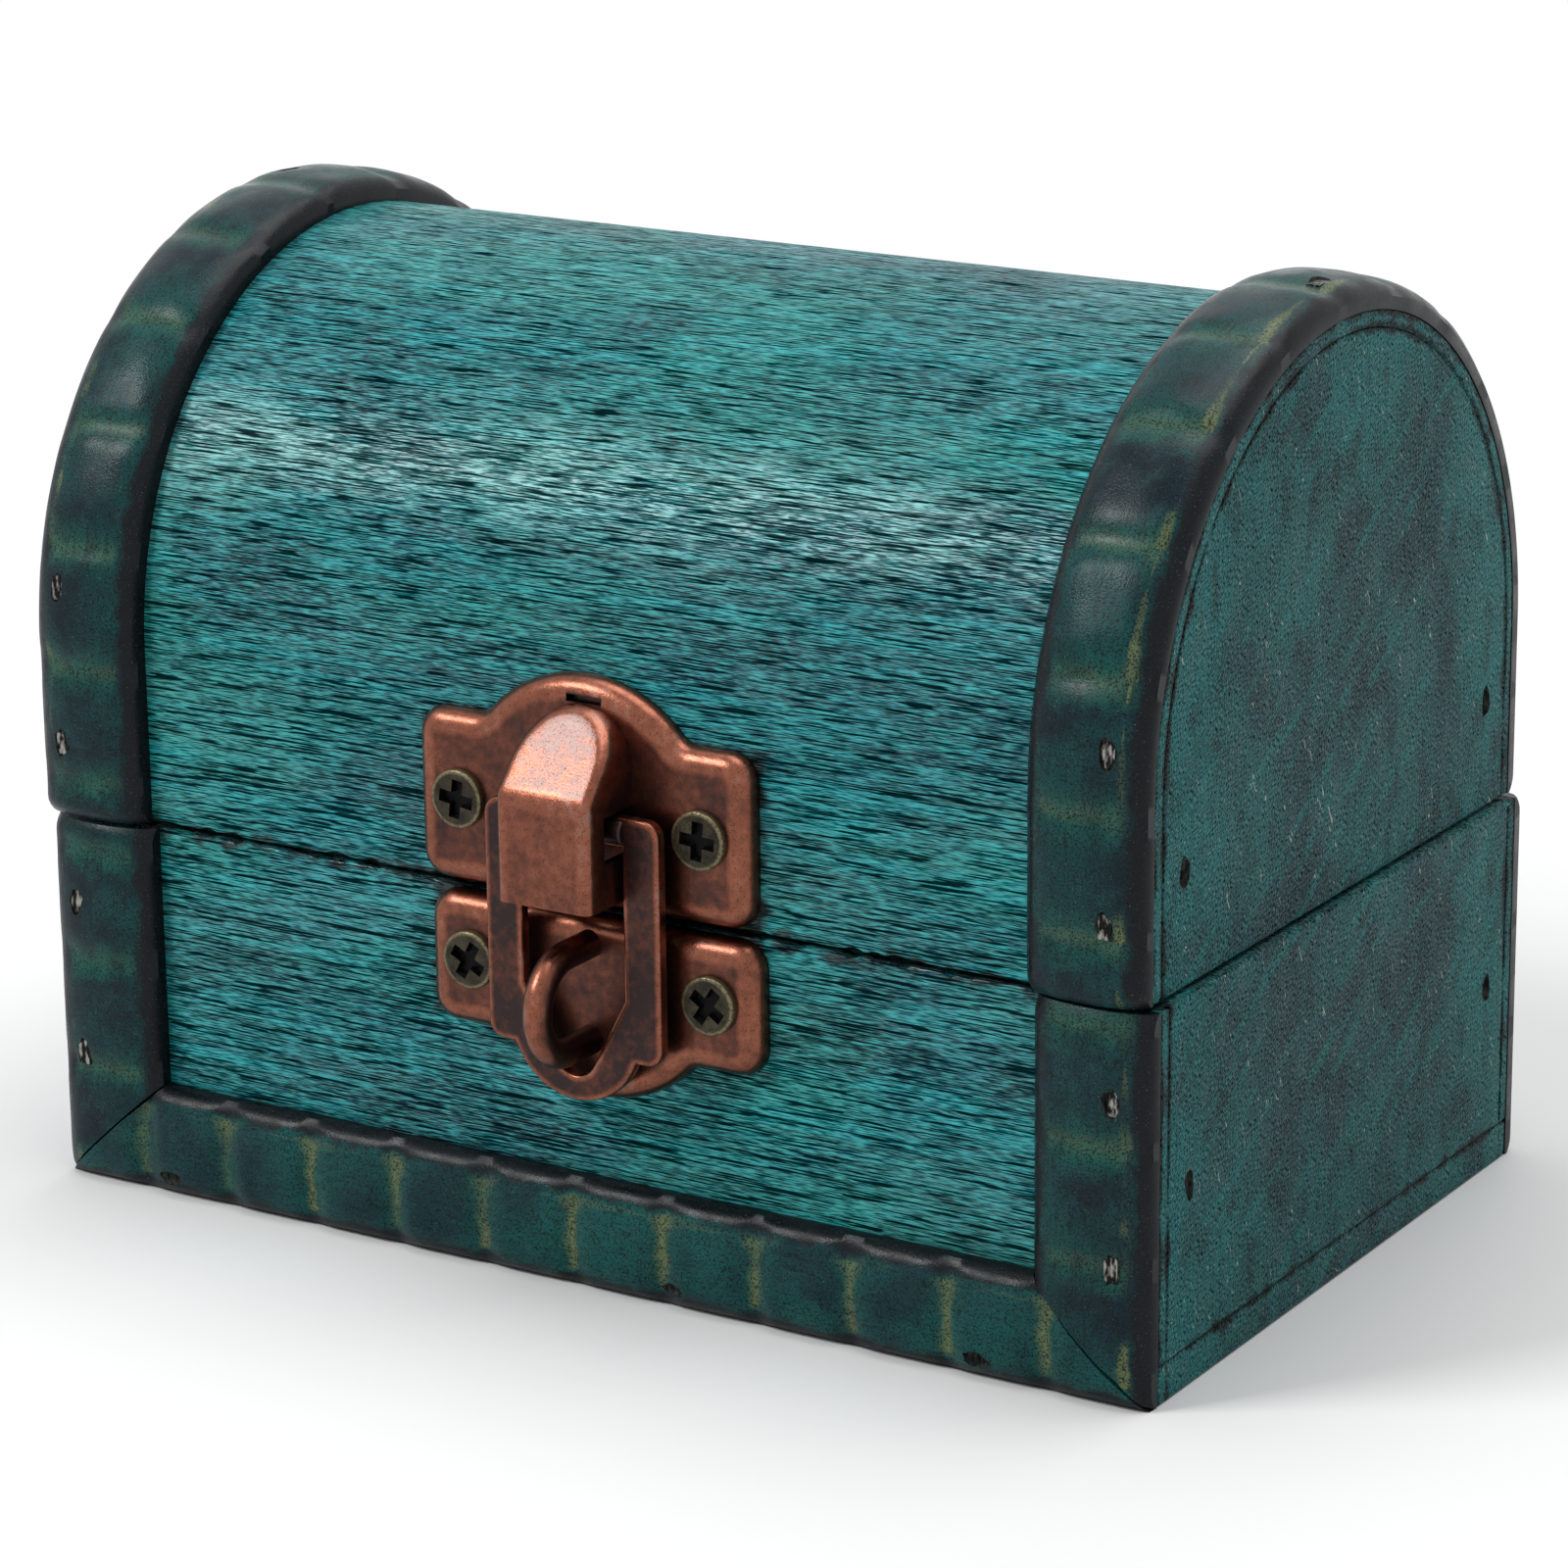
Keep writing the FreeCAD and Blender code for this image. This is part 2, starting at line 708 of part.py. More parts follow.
# Hasp: a stamped link with a slot that narrows to an eye, hung on its own bar inside the hood
half_hasp = hasp_width / 2
half_slot = hasp_slot_width / 2
back_of_hasp = hasp_metal / 2
hasp_layers = (-back_of_hasp, back_of_hasp)
hasp_plate = block((-half_hasp, half_hasp), hasp_layers, (-hasp_shoulder, hasp_top))
hasp_plate = hasp_plate.makeFillet(hasp_corner, edges_along_y(hasp_plate))
ring_middle = Vec(0, back_of_hasp, hasp_ring_radius - hasp_bottom)
hasp_plate = hasp_plate.fuse(Part.makeCylinder(hasp_ring_radius, hasp_metal, ring_middle, Vec(0, -1, 0)))
slot_layers = (-back_of_hasp - overrun, back_of_hasp + overrun)
slot_travel = Vec(0, slot_layers[1] - slot_layers[0], 0)
slot_back = slot_layers[0]
eye_height = hasp_eye_radius - hasp_eye_bottom
slot = block((-half_slot, half_slot), slot_layers, (-hasp_slot_taper, hasp_bar_height))
funnel = prism([
    Vec(-half_slot, slot_back, -hasp_slot_taper),
    Vec(half_slot, slot_back, -hasp_slot_taper),
    Vec(hasp_eye_radius, slot_back, eye_height),
    Vec(-hasp_eye_radius, slot_back, eye_height),
], slot_travel)
eye = Part.makeCylinder(hasp_eye_radius, slot_travel.y, Vec(0, slot_back, eye_height), Vec(0, 1, 0))
hasp_bar = rod_x(hasp_bar_radius, Vec(0, 0, hasp_bar_height), hasp_width - 2 * hasp_corner)
hasp = hasp_plate.cut([slot, funnel, eye]).fuse(hasp_bar).removeSplitter()
save("latch_hasp", hasp.translated(Vec(latch_offset, bar_y, seam_height)))

# Staple: two legs through the lower plate and a half-round bend
bend_radius = staple_legs / 2
leg_length = staple_reach - staple_wire / 2 - bend_radius
leg_root = plate_rise
wire_section = flat_face(many_sided(staple_wire / 2, 0, staple_sides))
bend_section = wire_section.translated(Vec(0, -leg_length, bend_radius))
staple_bend = bend_section.revolve(Vec(0, -leg_length, 0), Vec(1, 0, 0), 180)
staple_parts = [
    wire_section.translated(Vec(0, leg_root, side * bend_radius)).extrude(Vec(0, -leg_root - leg_length, 0))
    for side in (-1, 1)
]
staple = staple_bend.fuse(staple_parts).removeSplitter()
save("latch_staple", staple.translated(Vec(latch_offset, -plate_face, seam_height - staple_middle)))


# Back hinges

def hinge_leaf(knuckle_spans, direction):
    """One leaf about the hinge axis: a flat plate with rolled knuckles, towards +Z or -Z."""
    wall = -hinge_wall_gap - hinge_knuckle / 2
    plate_layers = (wall, wall + hinge_metal)
    plate_levels = sorted((direction * hinge_leaf_start, direction * (hinge_leaf_start + hinge_leaf_height)))
    leaf = block((-hinge_length / 2, hinge_length / 2), plate_layers, plate_levels)
    tongue_levels = sorted((0, direction * hinge_leaf_start))
    rolled = []
    bores = []
    for start, end in knuckle_spans:
        length = end - start
        rolled.append(Part.makeCylinder(hinge_knuckle / 2, length, Vec(start, 0, 0), Vec(1, 0, 0)))
        rolled.append(block((start, end), plate_layers, tongue_levels))
        bores.append(Part.makeCylinder(
            hinge_pin / 2 + pin_fit, length + 2 * overrun, Vec(start - overrun, 0, 0), Vec(1, 0, 0)))
    return leaf.fuse(rolled).removeSplitter().cut(bores)


knuckle_ends = [hinge_length * (share - 1 / 2) for share in knuckle_shares]
lid_spans = [(knuckle_ends[1] + knuckle_gap / 2, knuckle_ends[2] - knuckle_gap / 2)]
base_spans = [
    (knuckle_ends[0], knuckle_ends[1] - knuckle_gap / 2),
    (knuckle_ends[2] + knuckle_gap / 2, knuckle_ends[3]),
]
for side_name, side in (("left", -1), ("right", 1)):
    middle = Vec(side * hinge_spacing / 2, hinge_y, hinge_z)
    lid_leaf = hinge_leaf(lid_spans, 1).translated(middle)
    base_leaf = hinge_leaf(base_spans, -1).translated(middle)
    save("hinge_lid_leaf_" + side_name, lid_leaf.cut(lid_hinge_seats))
    save("hinge_base_leaf_" + side_name, base_leaf.cut(base_hinge_seats))
    save("hinge_pin_" + side_name, rod_x(hinge_pin / 2, middle, hinge_length))
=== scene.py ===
import math

import bmesh
import bpy
from mathutils import Matrix, Vector, noise


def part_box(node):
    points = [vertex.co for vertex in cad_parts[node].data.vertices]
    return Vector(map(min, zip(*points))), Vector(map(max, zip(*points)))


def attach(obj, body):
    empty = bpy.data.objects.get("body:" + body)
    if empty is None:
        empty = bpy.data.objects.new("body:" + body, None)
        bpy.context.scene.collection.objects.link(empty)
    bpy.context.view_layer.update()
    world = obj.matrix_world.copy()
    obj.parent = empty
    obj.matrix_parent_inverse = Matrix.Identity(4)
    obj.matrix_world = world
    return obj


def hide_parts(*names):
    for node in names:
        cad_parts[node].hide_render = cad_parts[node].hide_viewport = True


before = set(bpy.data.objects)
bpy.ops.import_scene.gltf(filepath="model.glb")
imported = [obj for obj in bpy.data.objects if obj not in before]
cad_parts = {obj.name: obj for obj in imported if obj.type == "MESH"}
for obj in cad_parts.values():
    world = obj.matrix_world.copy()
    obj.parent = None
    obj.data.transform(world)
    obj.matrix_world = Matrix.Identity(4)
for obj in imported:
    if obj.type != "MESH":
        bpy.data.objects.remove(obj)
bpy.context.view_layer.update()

# Base boards: the two inner boards behind the front and back sheets, which the screws bite into. They are
# plain sawn wood, glued to the bottom and the end panels, and show only when the lid is up.
mm = 0.001
board_ease = 0.3 * mm
crease_degrees = 40


def colour(red, green, blue):
    """A colour as it looks, each part from 0 to 255, in the linear values that a shader takes."""
    shares = [part / 255 for part in (red, green, blue)]
    return [share / 12.92 if share < 0.04 else ((share + 0.055) / 1.055) ** 2.4 for share in shares] + [1.0]


class Nodes:
    """The shader nodes of a material or a world. Each call adds to them and returns its result."""

    def __init__(self, owner):
        owner.use_nodes = True
        self.tree = owner.node_tree

    def add(self, kind, sockets, output=0, **options):
        node = self.tree.nodes.new("ShaderNode" + kind)
        for option, value in options.items():
            setattr(node, option, value)
        for socket, value in sockets.items():
            if isinstance(value, bpy.types.NodeSocket):
                self.tree.links.new(value, node.inputs[socket])
            else:
                node.inputs[socket].default_value = value
        return node.outputs[output]

    def math(self, operation, first, second=0.0):
        return self.add("Math", {0: first, 1: second}, operation=operation)

    def product(self, first, *others):
        for other in others:
            first = self.math("MULTIPLY", first, other)
        return first

    def gap(self, first, second):
        """How far apart two values are."""
        return self.math("ABSOLUTE", self.math("SUBTRACT", first, second))


class Finish(Nodes):
    """A finish: one shader, and the patterns that drive it."""

    def __init__(self, name, settings):
        self.material = bpy.data.materials.new(name)
        super().__init__(self.material)
        self.shader = self.tree.nodes["Principled BSDF"]
        for socket, value in settings.items():
            self.shader.inputs[socket].default_value = value

    def drive(self, socket, pattern):
        self.tree.links.new(pattern, self.shader.inputs[socket])

    def point(self, source="Object"):
        return self.add("TexCoord", {}, source)

    def along(self, axis, source="Object"):
        """How far along an axis a point lies."""
        return self.add("SeparateXYZ", {"Vector": self.point(source)}, axis)

    def cloud(self, grain, detail=2.0, source="Object", turn=(0, 0, 0), twist=0.0):
        """Soft spots about as long as `grain`, which is one length or one for each axis."""
        scale = grain if isinstance(grain, tuple) else (grain, grain, grain)
        sockets = {"Vector": self.point(source), "Rotation": turn, "Scale": scale}
        placed = self.add("Mapping", sockets, vector_type="TEXTURE")
        return self.add("TexNoise", {"Vector": placed, "Scale": 1.0, "Detail": detail, "Distortion": twist})

    def ramp(self, pattern, low, high, first=0.0, last=1.0):
        """`first` up to `low`, `last` from `high` on, and an even change between them."""
        sockets = {"Value": pattern, "From Min": low, "From Max": high, "To Min": first, "To Max": last}
        return self.add("MapRange", sockets)

    def waver(self, value, pattern, reach):
        """A value that a pattern moves up and down by at most `reach`."""
        return self.math("ADD", value, self.ramp(pattern, 0.3, 0.7, -reach, reach))

    def paint(self, amount, under, over):
        return self.add("MixRGB", {"Fac": amount, "Color1": under, "Color2": over})

    def coats(self, body, *coats):
        """Paints coats over a body in turn. Each has a pattern, the ramp that lays it on, and a colour."""
        for pattern, ramp, shade in coats:
            body = self.paint(self.ramp(pattern, *ramp), body, colour(*shade))
        return body

    def relief(self, pattern, depth):
        self.drive("Normal", self.add("Bump", {"Height": pattern, "Distance": depth, "Strength": 1.0}))


def block(low, high):
    """A block with sharp edges between two corners."""
    bm = bmesh.new()
    bmesh.ops.create_cube(bm, size=1.0, matrix=Matrix.LocRotScale((low + high) / 2, None, high - low))
    return bm


def round_off(bm, edges, ease, segments=3, **options):
    """Rounds edges, and returns what the operator made."""
    return bmesh.ops.bevel(
        bm, geom=edges, offset=ease, affect="EDGES", segments=segments, profile=0.5, material=-1, **options)


def eased_board(low, high, ease):
    """A sawn board between two corners, with its edges rubbed round."""
    bm = block(low, high)
    round_off(bm, bm.edges[:], ease)
    return bm


def make_piece(node, work, bm, materials, body):
    """Makes a bmesh a piece of the chest, named after its solid and its work. It moves with a body."""
    bmesh.ops.recalc_face_normals(bm, faces=bm.faces[:])
    for face in bm.faces:
        face.smooth = True
    name = node + "_" + work
    mesh = bpy.data.meshes.new(name)
    bm.to_mesh(mesh)
    bm.free()
    mesh.set_sharp_from_angle(angle=math.radians(crease_degrees))
    for material in materials:
        mesh.materials.append(material)
    piece = bpy.data.objects.new(name, mesh)
    bpy.context.collection.objects.link(piece)
    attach(piece, body)
    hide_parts(node)


def washed_wood():
    """Bare wood inside the chest, washed over with the same stain, thin enough to show the grain."""
    grain = (14 * mm, 0.5 * mm, 0.5 * mm)
    ring = (60 * mm, 3.5 * mm, 3.5 * mm)
    blotch = (18 * mm, 12 * mm, 12 * mm)
    grain_depth = 0.05 * mm
    finish = Finish("washed_wood", {"Specular IOR Level": 0.25, "Roughness": 0.7})
    fibres = finish.cloud(grain, detail=3.0)
    rings = finish.cloud(ring)
    blotches = finish.cloud(blotch, detail=3.0)
    finish.drive("Base Color", finish.coats(
        colour(120, 108, 84),
        (rings, (0.4, 0.6), (92, 84, 68)),
        (blotches, (0.3, 0.62, 0.35, 0.8), (34, 88, 88)),
        (fibres, (0.36, 0.5, 0.55, 0.0), (28, 48, 50))))
    finish.relief(fibres, grain_depth)
    return finish.material


inner_wood = washed_wood()
for side in ("front", "back"):
    node = "base_" + side + "_board"
    make_piece(node, "eased", eased_board(*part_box(node), board_ease), [inner_wood], "base")

# Base end panels: two sawn boards, 5 mm thick, stood on the bottom board between the sheets. They are stained
# dark, sanded across, and held by flat brads that are driven below the face and have torn the wood.
pit_width = 1.3 * mm
pit_length = 2.2 * mm
pit_depth = 1.3 * mm
pit_roughness_share = 0.4
end_brad_inset = 3.0 * mm
base_end_brad_height = 14.3 * mm
panel_ease = 0.22 * mm


def torn_wood():
    """The torn wall of a nail pit: broken fibres, painted nearly black as the shade in the pit."""
    fibre = (0.25 * mm, 0.25 * mm, 0.7 * mm)
    fibre_depth = 0.12 * mm
    finish = Finish("torn_wood", {"Specular IOR Level": 0.2, "Roughness": 0.8})
    fibres = finish.cloud(fibre, detail=3.0)
    # Nearly black: painted shade in the pit.
    finish.drive("Base Color", finish.coats(colour(9, 11, 12), (fibres, (0.42, 0.66), (58, 62, 58))))
    finish.relief(fibres, fibre_depth)
    return finish.material


def end_panel_stain():
    """Dark slate-teal stain over sanded wood, pooled by the rim, with scratches, flecks and painted shade in
    the joints.
    """
    pore = (0.3 * mm, 0.11 * mm, 0.26 * mm)
    pore_turn = (math.radians(-38), 0, 0)
    scratch = (3 * mm, 0.13 * mm, 9 * mm)
    patch = (20 * mm, 9 * mm, 12 * mm)
    rub = (5 * mm, 2.2 * mm, 4 * mm)
    stroke = (4 * mm, 1.1 * mm, 9 * mm)
    stroke_turn = (math.radians(-56), 0, 0)
    sliver = (0.26 * mm, 0.26 * mm, 1.0 * mm)
    sliver_turn = (math.radians(25), 0, 0)
    pool_start = 11 * mm
    joint_width = 0.42 * mm
    joint_core = 0.08 * mm
    pore_depth = 0.2 * mm
    finish = Finish("end_panel_stain", {})
    pores = finish.cloud(pore, detail=3.0, turn=pore_turn)
    scratches = finish.cloud(scratch)
    patches = finish.cloud(patch, detail=4.0, twist=0.4)
    rubs = finish.cloud(rub, detail=5.0)
    strokes = finish.cloud(stroke, detail=5.0, turn=stroke_turn, twist=0.3)
    slivers = finish.cloud(sliver, detail=0.0, turn=sliver_turn, twist=1.5)
    depth = finish.along("Y")
    height = finish.along("Z")
    above_spring = finish.math("MAXIMUM", finish.math("SUBTRACT", height, dome_spring), 0.0)
    squares = finish.math("ADD", finish.product(depth, depth), finish.product(above_spring, above_spring))
    from_axis = finish.math("SQRT", squares)
    pooled = finish.product(
        finish.ramp(from_axis, pool_start, panel_half_depth, 0.1, 0.95),
        finish.ramp(patches, 0.38, 0.6, 0.2, 1.0))
    body = finish.coats(colour(40, 62, 68), (patches, (0.42, 0.6), (26, 92, 95)))
    body = finish.coats(
        finish.paint(pooled, body, colour(14, 116, 116)),
        (strokes, (0.52, 0.68, 0.0, 0.7), (22, 128, 126)),
        (rubs, (0.52, 0.7, 0.0, 0.4), (78, 108, 110)),
        (rubs, (0.32, 0.46, 0.7, 0.0), (18, 36, 40)),
        (scratches, (0.34, 0.48, 0.5, 0.0), (18, 38, 42)),
        (pores, (0.53, 0.65, 0.0, 0.6), (104, 148, 150)),
        (pores, (0.39, 0.48, 0.9, 0.0), (6, 20, 24)))
    fleck = finish.product(finish.ramp(slivers, 0.8, 0.82), finish.ramp(rubs, 0.44, 0.5))
    body = finish.paint(fleck, body, colour(186, 192, 182))
    # Dark lines at the joints with the sheets and the foot: painted shade in the cracks.
    from_joint = finish.gap(from_axis, panel_half_depth)
    from_joint = finish.math("MINIMUM", from_joint, finish.gap(from_axis, sheet_face))
    from_joint = finish.math("MINIMUM", from_joint, finish.gap(height, foot_joint))
    from_joint = finish.waver(from_joint, rubs, joint_width)
    body = finish.coats(body, (from_joint, (joint_core, joint_width, 0.95, 0.0), (7, 12, 14)))
    finish.drive("Base Color", body)
    finish.drive("Roughness", finish.ramp(patches, 0.3, 0.7, 0.6, 0.45))
    finish.drive("Specular IOR Level", finish.ramp(pores, 0.4, 0.6, 0.0, 0.26))
    finish.relief(finish.paint(0.25, pores, scratches), pore_depth)
    return finish.material


def nail_pit(middle, along, outward):
    """A rough bowl, longer along `along`, that tears a pit into a surface that faces `outward`."""
    bm = bmesh.new()
    bmesh.ops.create_icosphere(bm, subdivisions=2, radius=1.0)
    for vert in bm.verts:
        vert.co *= 1 + pit_roughness_share * noise.noise(vert.co * 2 + middle / mm)
    across = along.cross(outward)
    axes = (across * pit_width * 0.5, along * pit_length * 0.5, outward * pit_depth * 0.5)
    place = Matrix.Translation(middle) @ Matrix(axes).transposed().to_4x4()
    bmesh.ops.transform(bm, matrix=place, verts=bm.verts[:])
    return bm


def gather(parts):
    """Several shapes as one bmesh."""
    whole = bmesh.new()
    for part in parts:
        mesh = bpy.data.meshes.new("part")
        part.to_mesh(mesh)
        part.free()
        whole.from_mesh(mesh)
        bpy.data.meshes.remove(mesh)
    return whole


def carved(blank, tool, materials):
    """What is left of `blank` when `tool` is cut out of it. The cut takes the second material."""
    for face in tool.faces:
        face.material_index = 1
    shapes = []
    for shape in (blank, tool):
        bmesh.ops.recalc_face_normals(shape, faces=shape.faces[:])
        mesh = bpy.data.meshes.new("carving")
        shape.to_mesh(mesh)
        shape.free()
        for material in materials:
            mesh.materials.append(material)
        solid = bpy.data.objects.new("carving", mesh)
        bpy.context.collection.objects.link(solid)
        shapes.append(solid)
    cut = shapes[0].modifiers.new("cut", "BOOLEAN")
    cut.object = shapes[1]
    cut.operation = "DIFFERENCE"
    cut.solver = "EXACT"
    cut.material_mode = "INDEX"
    left = bmesh.new()
    left.from_object(shapes[0], bpy.context.evaluated_depsgraph_get())
    for solid in shapes:
        bpy.data.meshes.remove(solid.data)
    return left


def make_end_panel(node, panel, body, brad_height):
    """Tears the two nail pits into an end panel, near its front and back edges, and makes it a piece."""
    low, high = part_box(node)
    face_x = high.x if node.endswith("right") else low.x
    outward = Vector((math.copysign(1, face_x), 0, 0))
    pits = []
    for side in (-1, 1):
        middle = Vector((face_x, side * (panel_half_depth - end_brad_inset), brad_height))
        pits.append(nail_pit(middle, Vector((0, 0, 1)), outward))
    materials = [end_stain, pit_wood]
    make_piece(node, "panel", carved(panel, gather(pits), materials), materials, body)


panel_half_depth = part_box("base_end_right")[1].y
sheet_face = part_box("base_back_sheet")[1].y
dome_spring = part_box("lid_sheet")[1].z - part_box("lid_sheet")[1].y
foot_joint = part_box("bottom_board")[1].z
pit_wood = torn_wood()
end_stain = end_panel_stain()
for side in ("left", "right"):
    node = "base_end_" + side
    make_end_panel(node, eased_board(*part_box(node), panel_ease), "base", base_end_brad_height)

# Base sheets: thin sheets of open-grained wood glued over the boards, front and back, and stained bright
# teal. The stain lies dark in the short pores of the grain, and the saw has chipped the edge along the seam.
sheet_ease = 0.2 * mm
chip_reach = 0.5 * mm
chip_length = 1.3 * mm
chip_depth = 0.45 * mm
chip_step = 0.4 * mm
dark_edge_reach = 0.7 * mm
crush_and_shade_reach = 0.2 * mm
# Height and reach of a pale band painted across the dome as the sheen where the key light reflects.
sheen_level = 56 * mm
sheen_reach = 6 * mm
upper_ear = 12.35 * mm
lower_ear = 9.6 * mm
seam_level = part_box("base_front_sheet")[1].z
lower_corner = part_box("latch_lower_plate")[1] - Vector((0, 0, lower_ear))
upper_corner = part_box("latch_upper_plate")[0] + Vector((0, 0, upper_ear))
latch_middle = (lower_corner + upper_corner) / 2
latch_half_size = Vector([abs(size) / 2 for size in upper_corner - lower_corner])


def teal_stain():
    """Teal stain on open-grained wood: fine dark lines along the grain, dark clouds, pale ridges, and a
    painted sheen band.
    """
    line = (3.2 * mm, 0.105 * mm, 0.105 * mm)
    fibre = (1.0 * mm, 0.07 * mm, 0.07 * mm)
    streak = (30 * mm, 0.9 * mm, 0.9 * mm)
    cloud = (30 * mm, 14 * mm, 14 * mm)
    rub = (18 * mm, 7 * mm, 7 * mm)
    smudge = (9 * mm, 5 * mm, 5 * mm)
    fleck = (2.2 * mm, 1.3 * mm, 1.3 * mm)
    line_depth = 0.04 * mm
    finish = Finish("teal_stain", {})
    lines = finish.cloud(line, detail=0.0)
    fibres = finish.cloud(fibre, detail=1.0)
    streaks = finish.cloud(streak, detail=3.0)
    clouds = finish.cloud(cloud, detail=4.0, twist=0.6)
    rubs = finish.cloud(rub, detail=4.0)
    smudges = finish.cloud(smudge, detail=5.0)
    flecks = finish.cloud(fleck, detail=3.0)
    grain = finish.math("MINIMUM", lines, fibres)
    height = finish.along("Z")
    # A pale band round the dome, painted as sheen and broken up by the rubs pattern.
    from_sheen = finish.gap(height, sheen_level)
    rubbed = finish.product(finish.ramp(from_sheen, 0, sheen_reach, 0.85, 0.15), finish.ramp(rubs, 0.42, 0.62))
    body = finish.coats(
        colour(0, 88, 101),
        (clouds, (0.4, 0.6), (2, 121, 116)),
        (streaks, (0.46, 0.64, 0.0, 0.6), (4, 160, 168)))
    body = finish.coats(
        finish.paint(rubbed, body, colour(124, 182, 180)),
        (smudges, (0.34, 0.5, 0.6, 0.0), (18, 58, 66)),
        (flecks, (0.24, 0.34, 0.5, 0.0), (34, 48, 54)),
        (fibres, (0.52, 0.64, 0.0, 0.5), (60, 206, 206)),
        (fibres, (0.36, 0.48, 0.6, 0.0), (2, 40, 46)),
        (lines, (0.37, 0.44, 0.95, 0.0), (1, 20, 25)))
    # A ragged edge for the darkening along the seam and round the latch plates. Below: darker along the seam.
    ragged = finish.ramp(flecks, 0.35, 0.65, -dark_edge_reach, dark_edge_reach)
    from_seam = finish.math("ADD", finish.gap(height, seam_level), ragged)
    seam_dark = finish.ramp(from_seam, 0, dark_edge_reach, 0.9, 0.0)
    # Round the latch plates, on the front only: painted shade where the plates stand off the wood, and
    # crushed wood at their edges.
    beside = finish.math("SUBTRACT", finish.gap(finish.along("X"), latch_middle.x), latch_half_size.x)
    above = finish.math("SUBTRACT", finish.gap(height, latch_middle.z), latch_half_size.z)
    from_latch = finish.math("ADD", finish.math("MAXIMUM", beside, above), ragged)
    in_front = finish.math("LESS_THAN", finish.along("Y"), 0.0)
    crushed_and_shade = finish.product(finish.ramp(from_latch, -dark_edge_reach, crush_and_shade_reach, 0.95, 0.0), in_front)
    # Paints the darkening along the seam and the painted shade round the latch plates.
    finish.drive("Base Color", finish.paint(finish.math("MAXIMUM", seam_dark, crushed_and_shade), body, colour(8, 20, 24)))
    finish.drive("Roughness", finish.ramp(grain, 0.34, 0.5, 0.5, 0.3))
    finish.drive("Specular IOR Level", finish.ramp(grain, 0.36, 0.5, 0.0, 0.45))
    finish.relief(finish.ramp(grain, 0.32, 0.5), line_depth)
    return finish.material


def chip_edge(bm, level, inward):
    """Chips a sheet's edge where the saw has parted it at a level. The chips bite into the wood."""
    for vert in bm.verts:
        gap = abs(vert.co.z - level)
        if gap < chip_reach:
            bite = max(0.0, noise.fractal(vert.co / chip_length, 1.0, 2.0, 3)) * chip_depth
            vert.co.z += inward * bite * (1 - gap / chip_reach)


def darken_ends(bm):
    """Gives the cut ends of a board the second material, the dark stain of the end panels beside them."""
    bm.normal_update()
    for face in bm.faces:
        if abs(face.normal.x) > 0.5:
            face.material_index = 1


stain = teal_stain()
for side in ("front", "back"):
    node = "base_" + side + "_sheet"
    low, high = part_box(node)
    sheet = eased_board(low, high, sheet_ease)
    long_edges = [edge for edge in sheet.edges if abs((edge.verts[0].co - edge.verts[1].co).x) > chip_step]
    cuts = round((high.x - low.x) / chip_step)
    bmesh.ops.subdivide_edges(sheet, edges=long_edges, cuts=cuts, use_grid_fill=True)
    chip_edge(sheet, high.z, -1)
    darken_ends(sheet)
    make_piece(node, "stained", sheet, [stain, end_stain], "base")

# Bottom board: a thin wooden board as large as the whole foot of the chest, glued under the panels and the
# sheets. It is sawn square and rubbed down by hand. Each side is stained with the wood above it.
board = eased_board(*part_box("bottom_board"), board_ease)
darken_ends(board)
for face in board.faces:
    if face.material_index == 0 and abs(face.normal.y) > 0.5:
        face.material_index = 2
make_piece("bottom_board", "eased", board, [inner_wood, end_stain, stain], "base")

# Base bands: half-round mouldings over the corners, cut into pillows by cross grooves, stained nearly black
# and rubbed through to olive in the grooves. They are glued and nailed, and mitred at the foot in front.
band_edge = 0.9 * mm
band_crown = 2.4 * mm
band_cell = 0.42 * mm
band_columns = 18
crown_flatness = 2.5
shoulder_sharpness = 1.7
upright_groove_depth = 0.4 * mm
bottom_groove_depth = 0.7 * mm
groove_half_width = 1.0 * mm
groove_wander = 0.5 * mm
band_dent = 0.22 * mm
band_dent_length = 3.0 * mm
band_end_round = 1.2 * mm
mitre_gap = 0.07 * mm
brad_from_edge = 2.5 * mm
base_groove_starts = {"left": 1.9 * mm, "right": 0.9 * mm}
base_pillow = 8.3 * mm
base_band_brad_shares = (0.36, 0.78)
bottom_band_brad_shares = (0.11, 0.59, 0.86)
bottom_brad_height_share = 0.175
bottom_pillow = 7.5 * mm


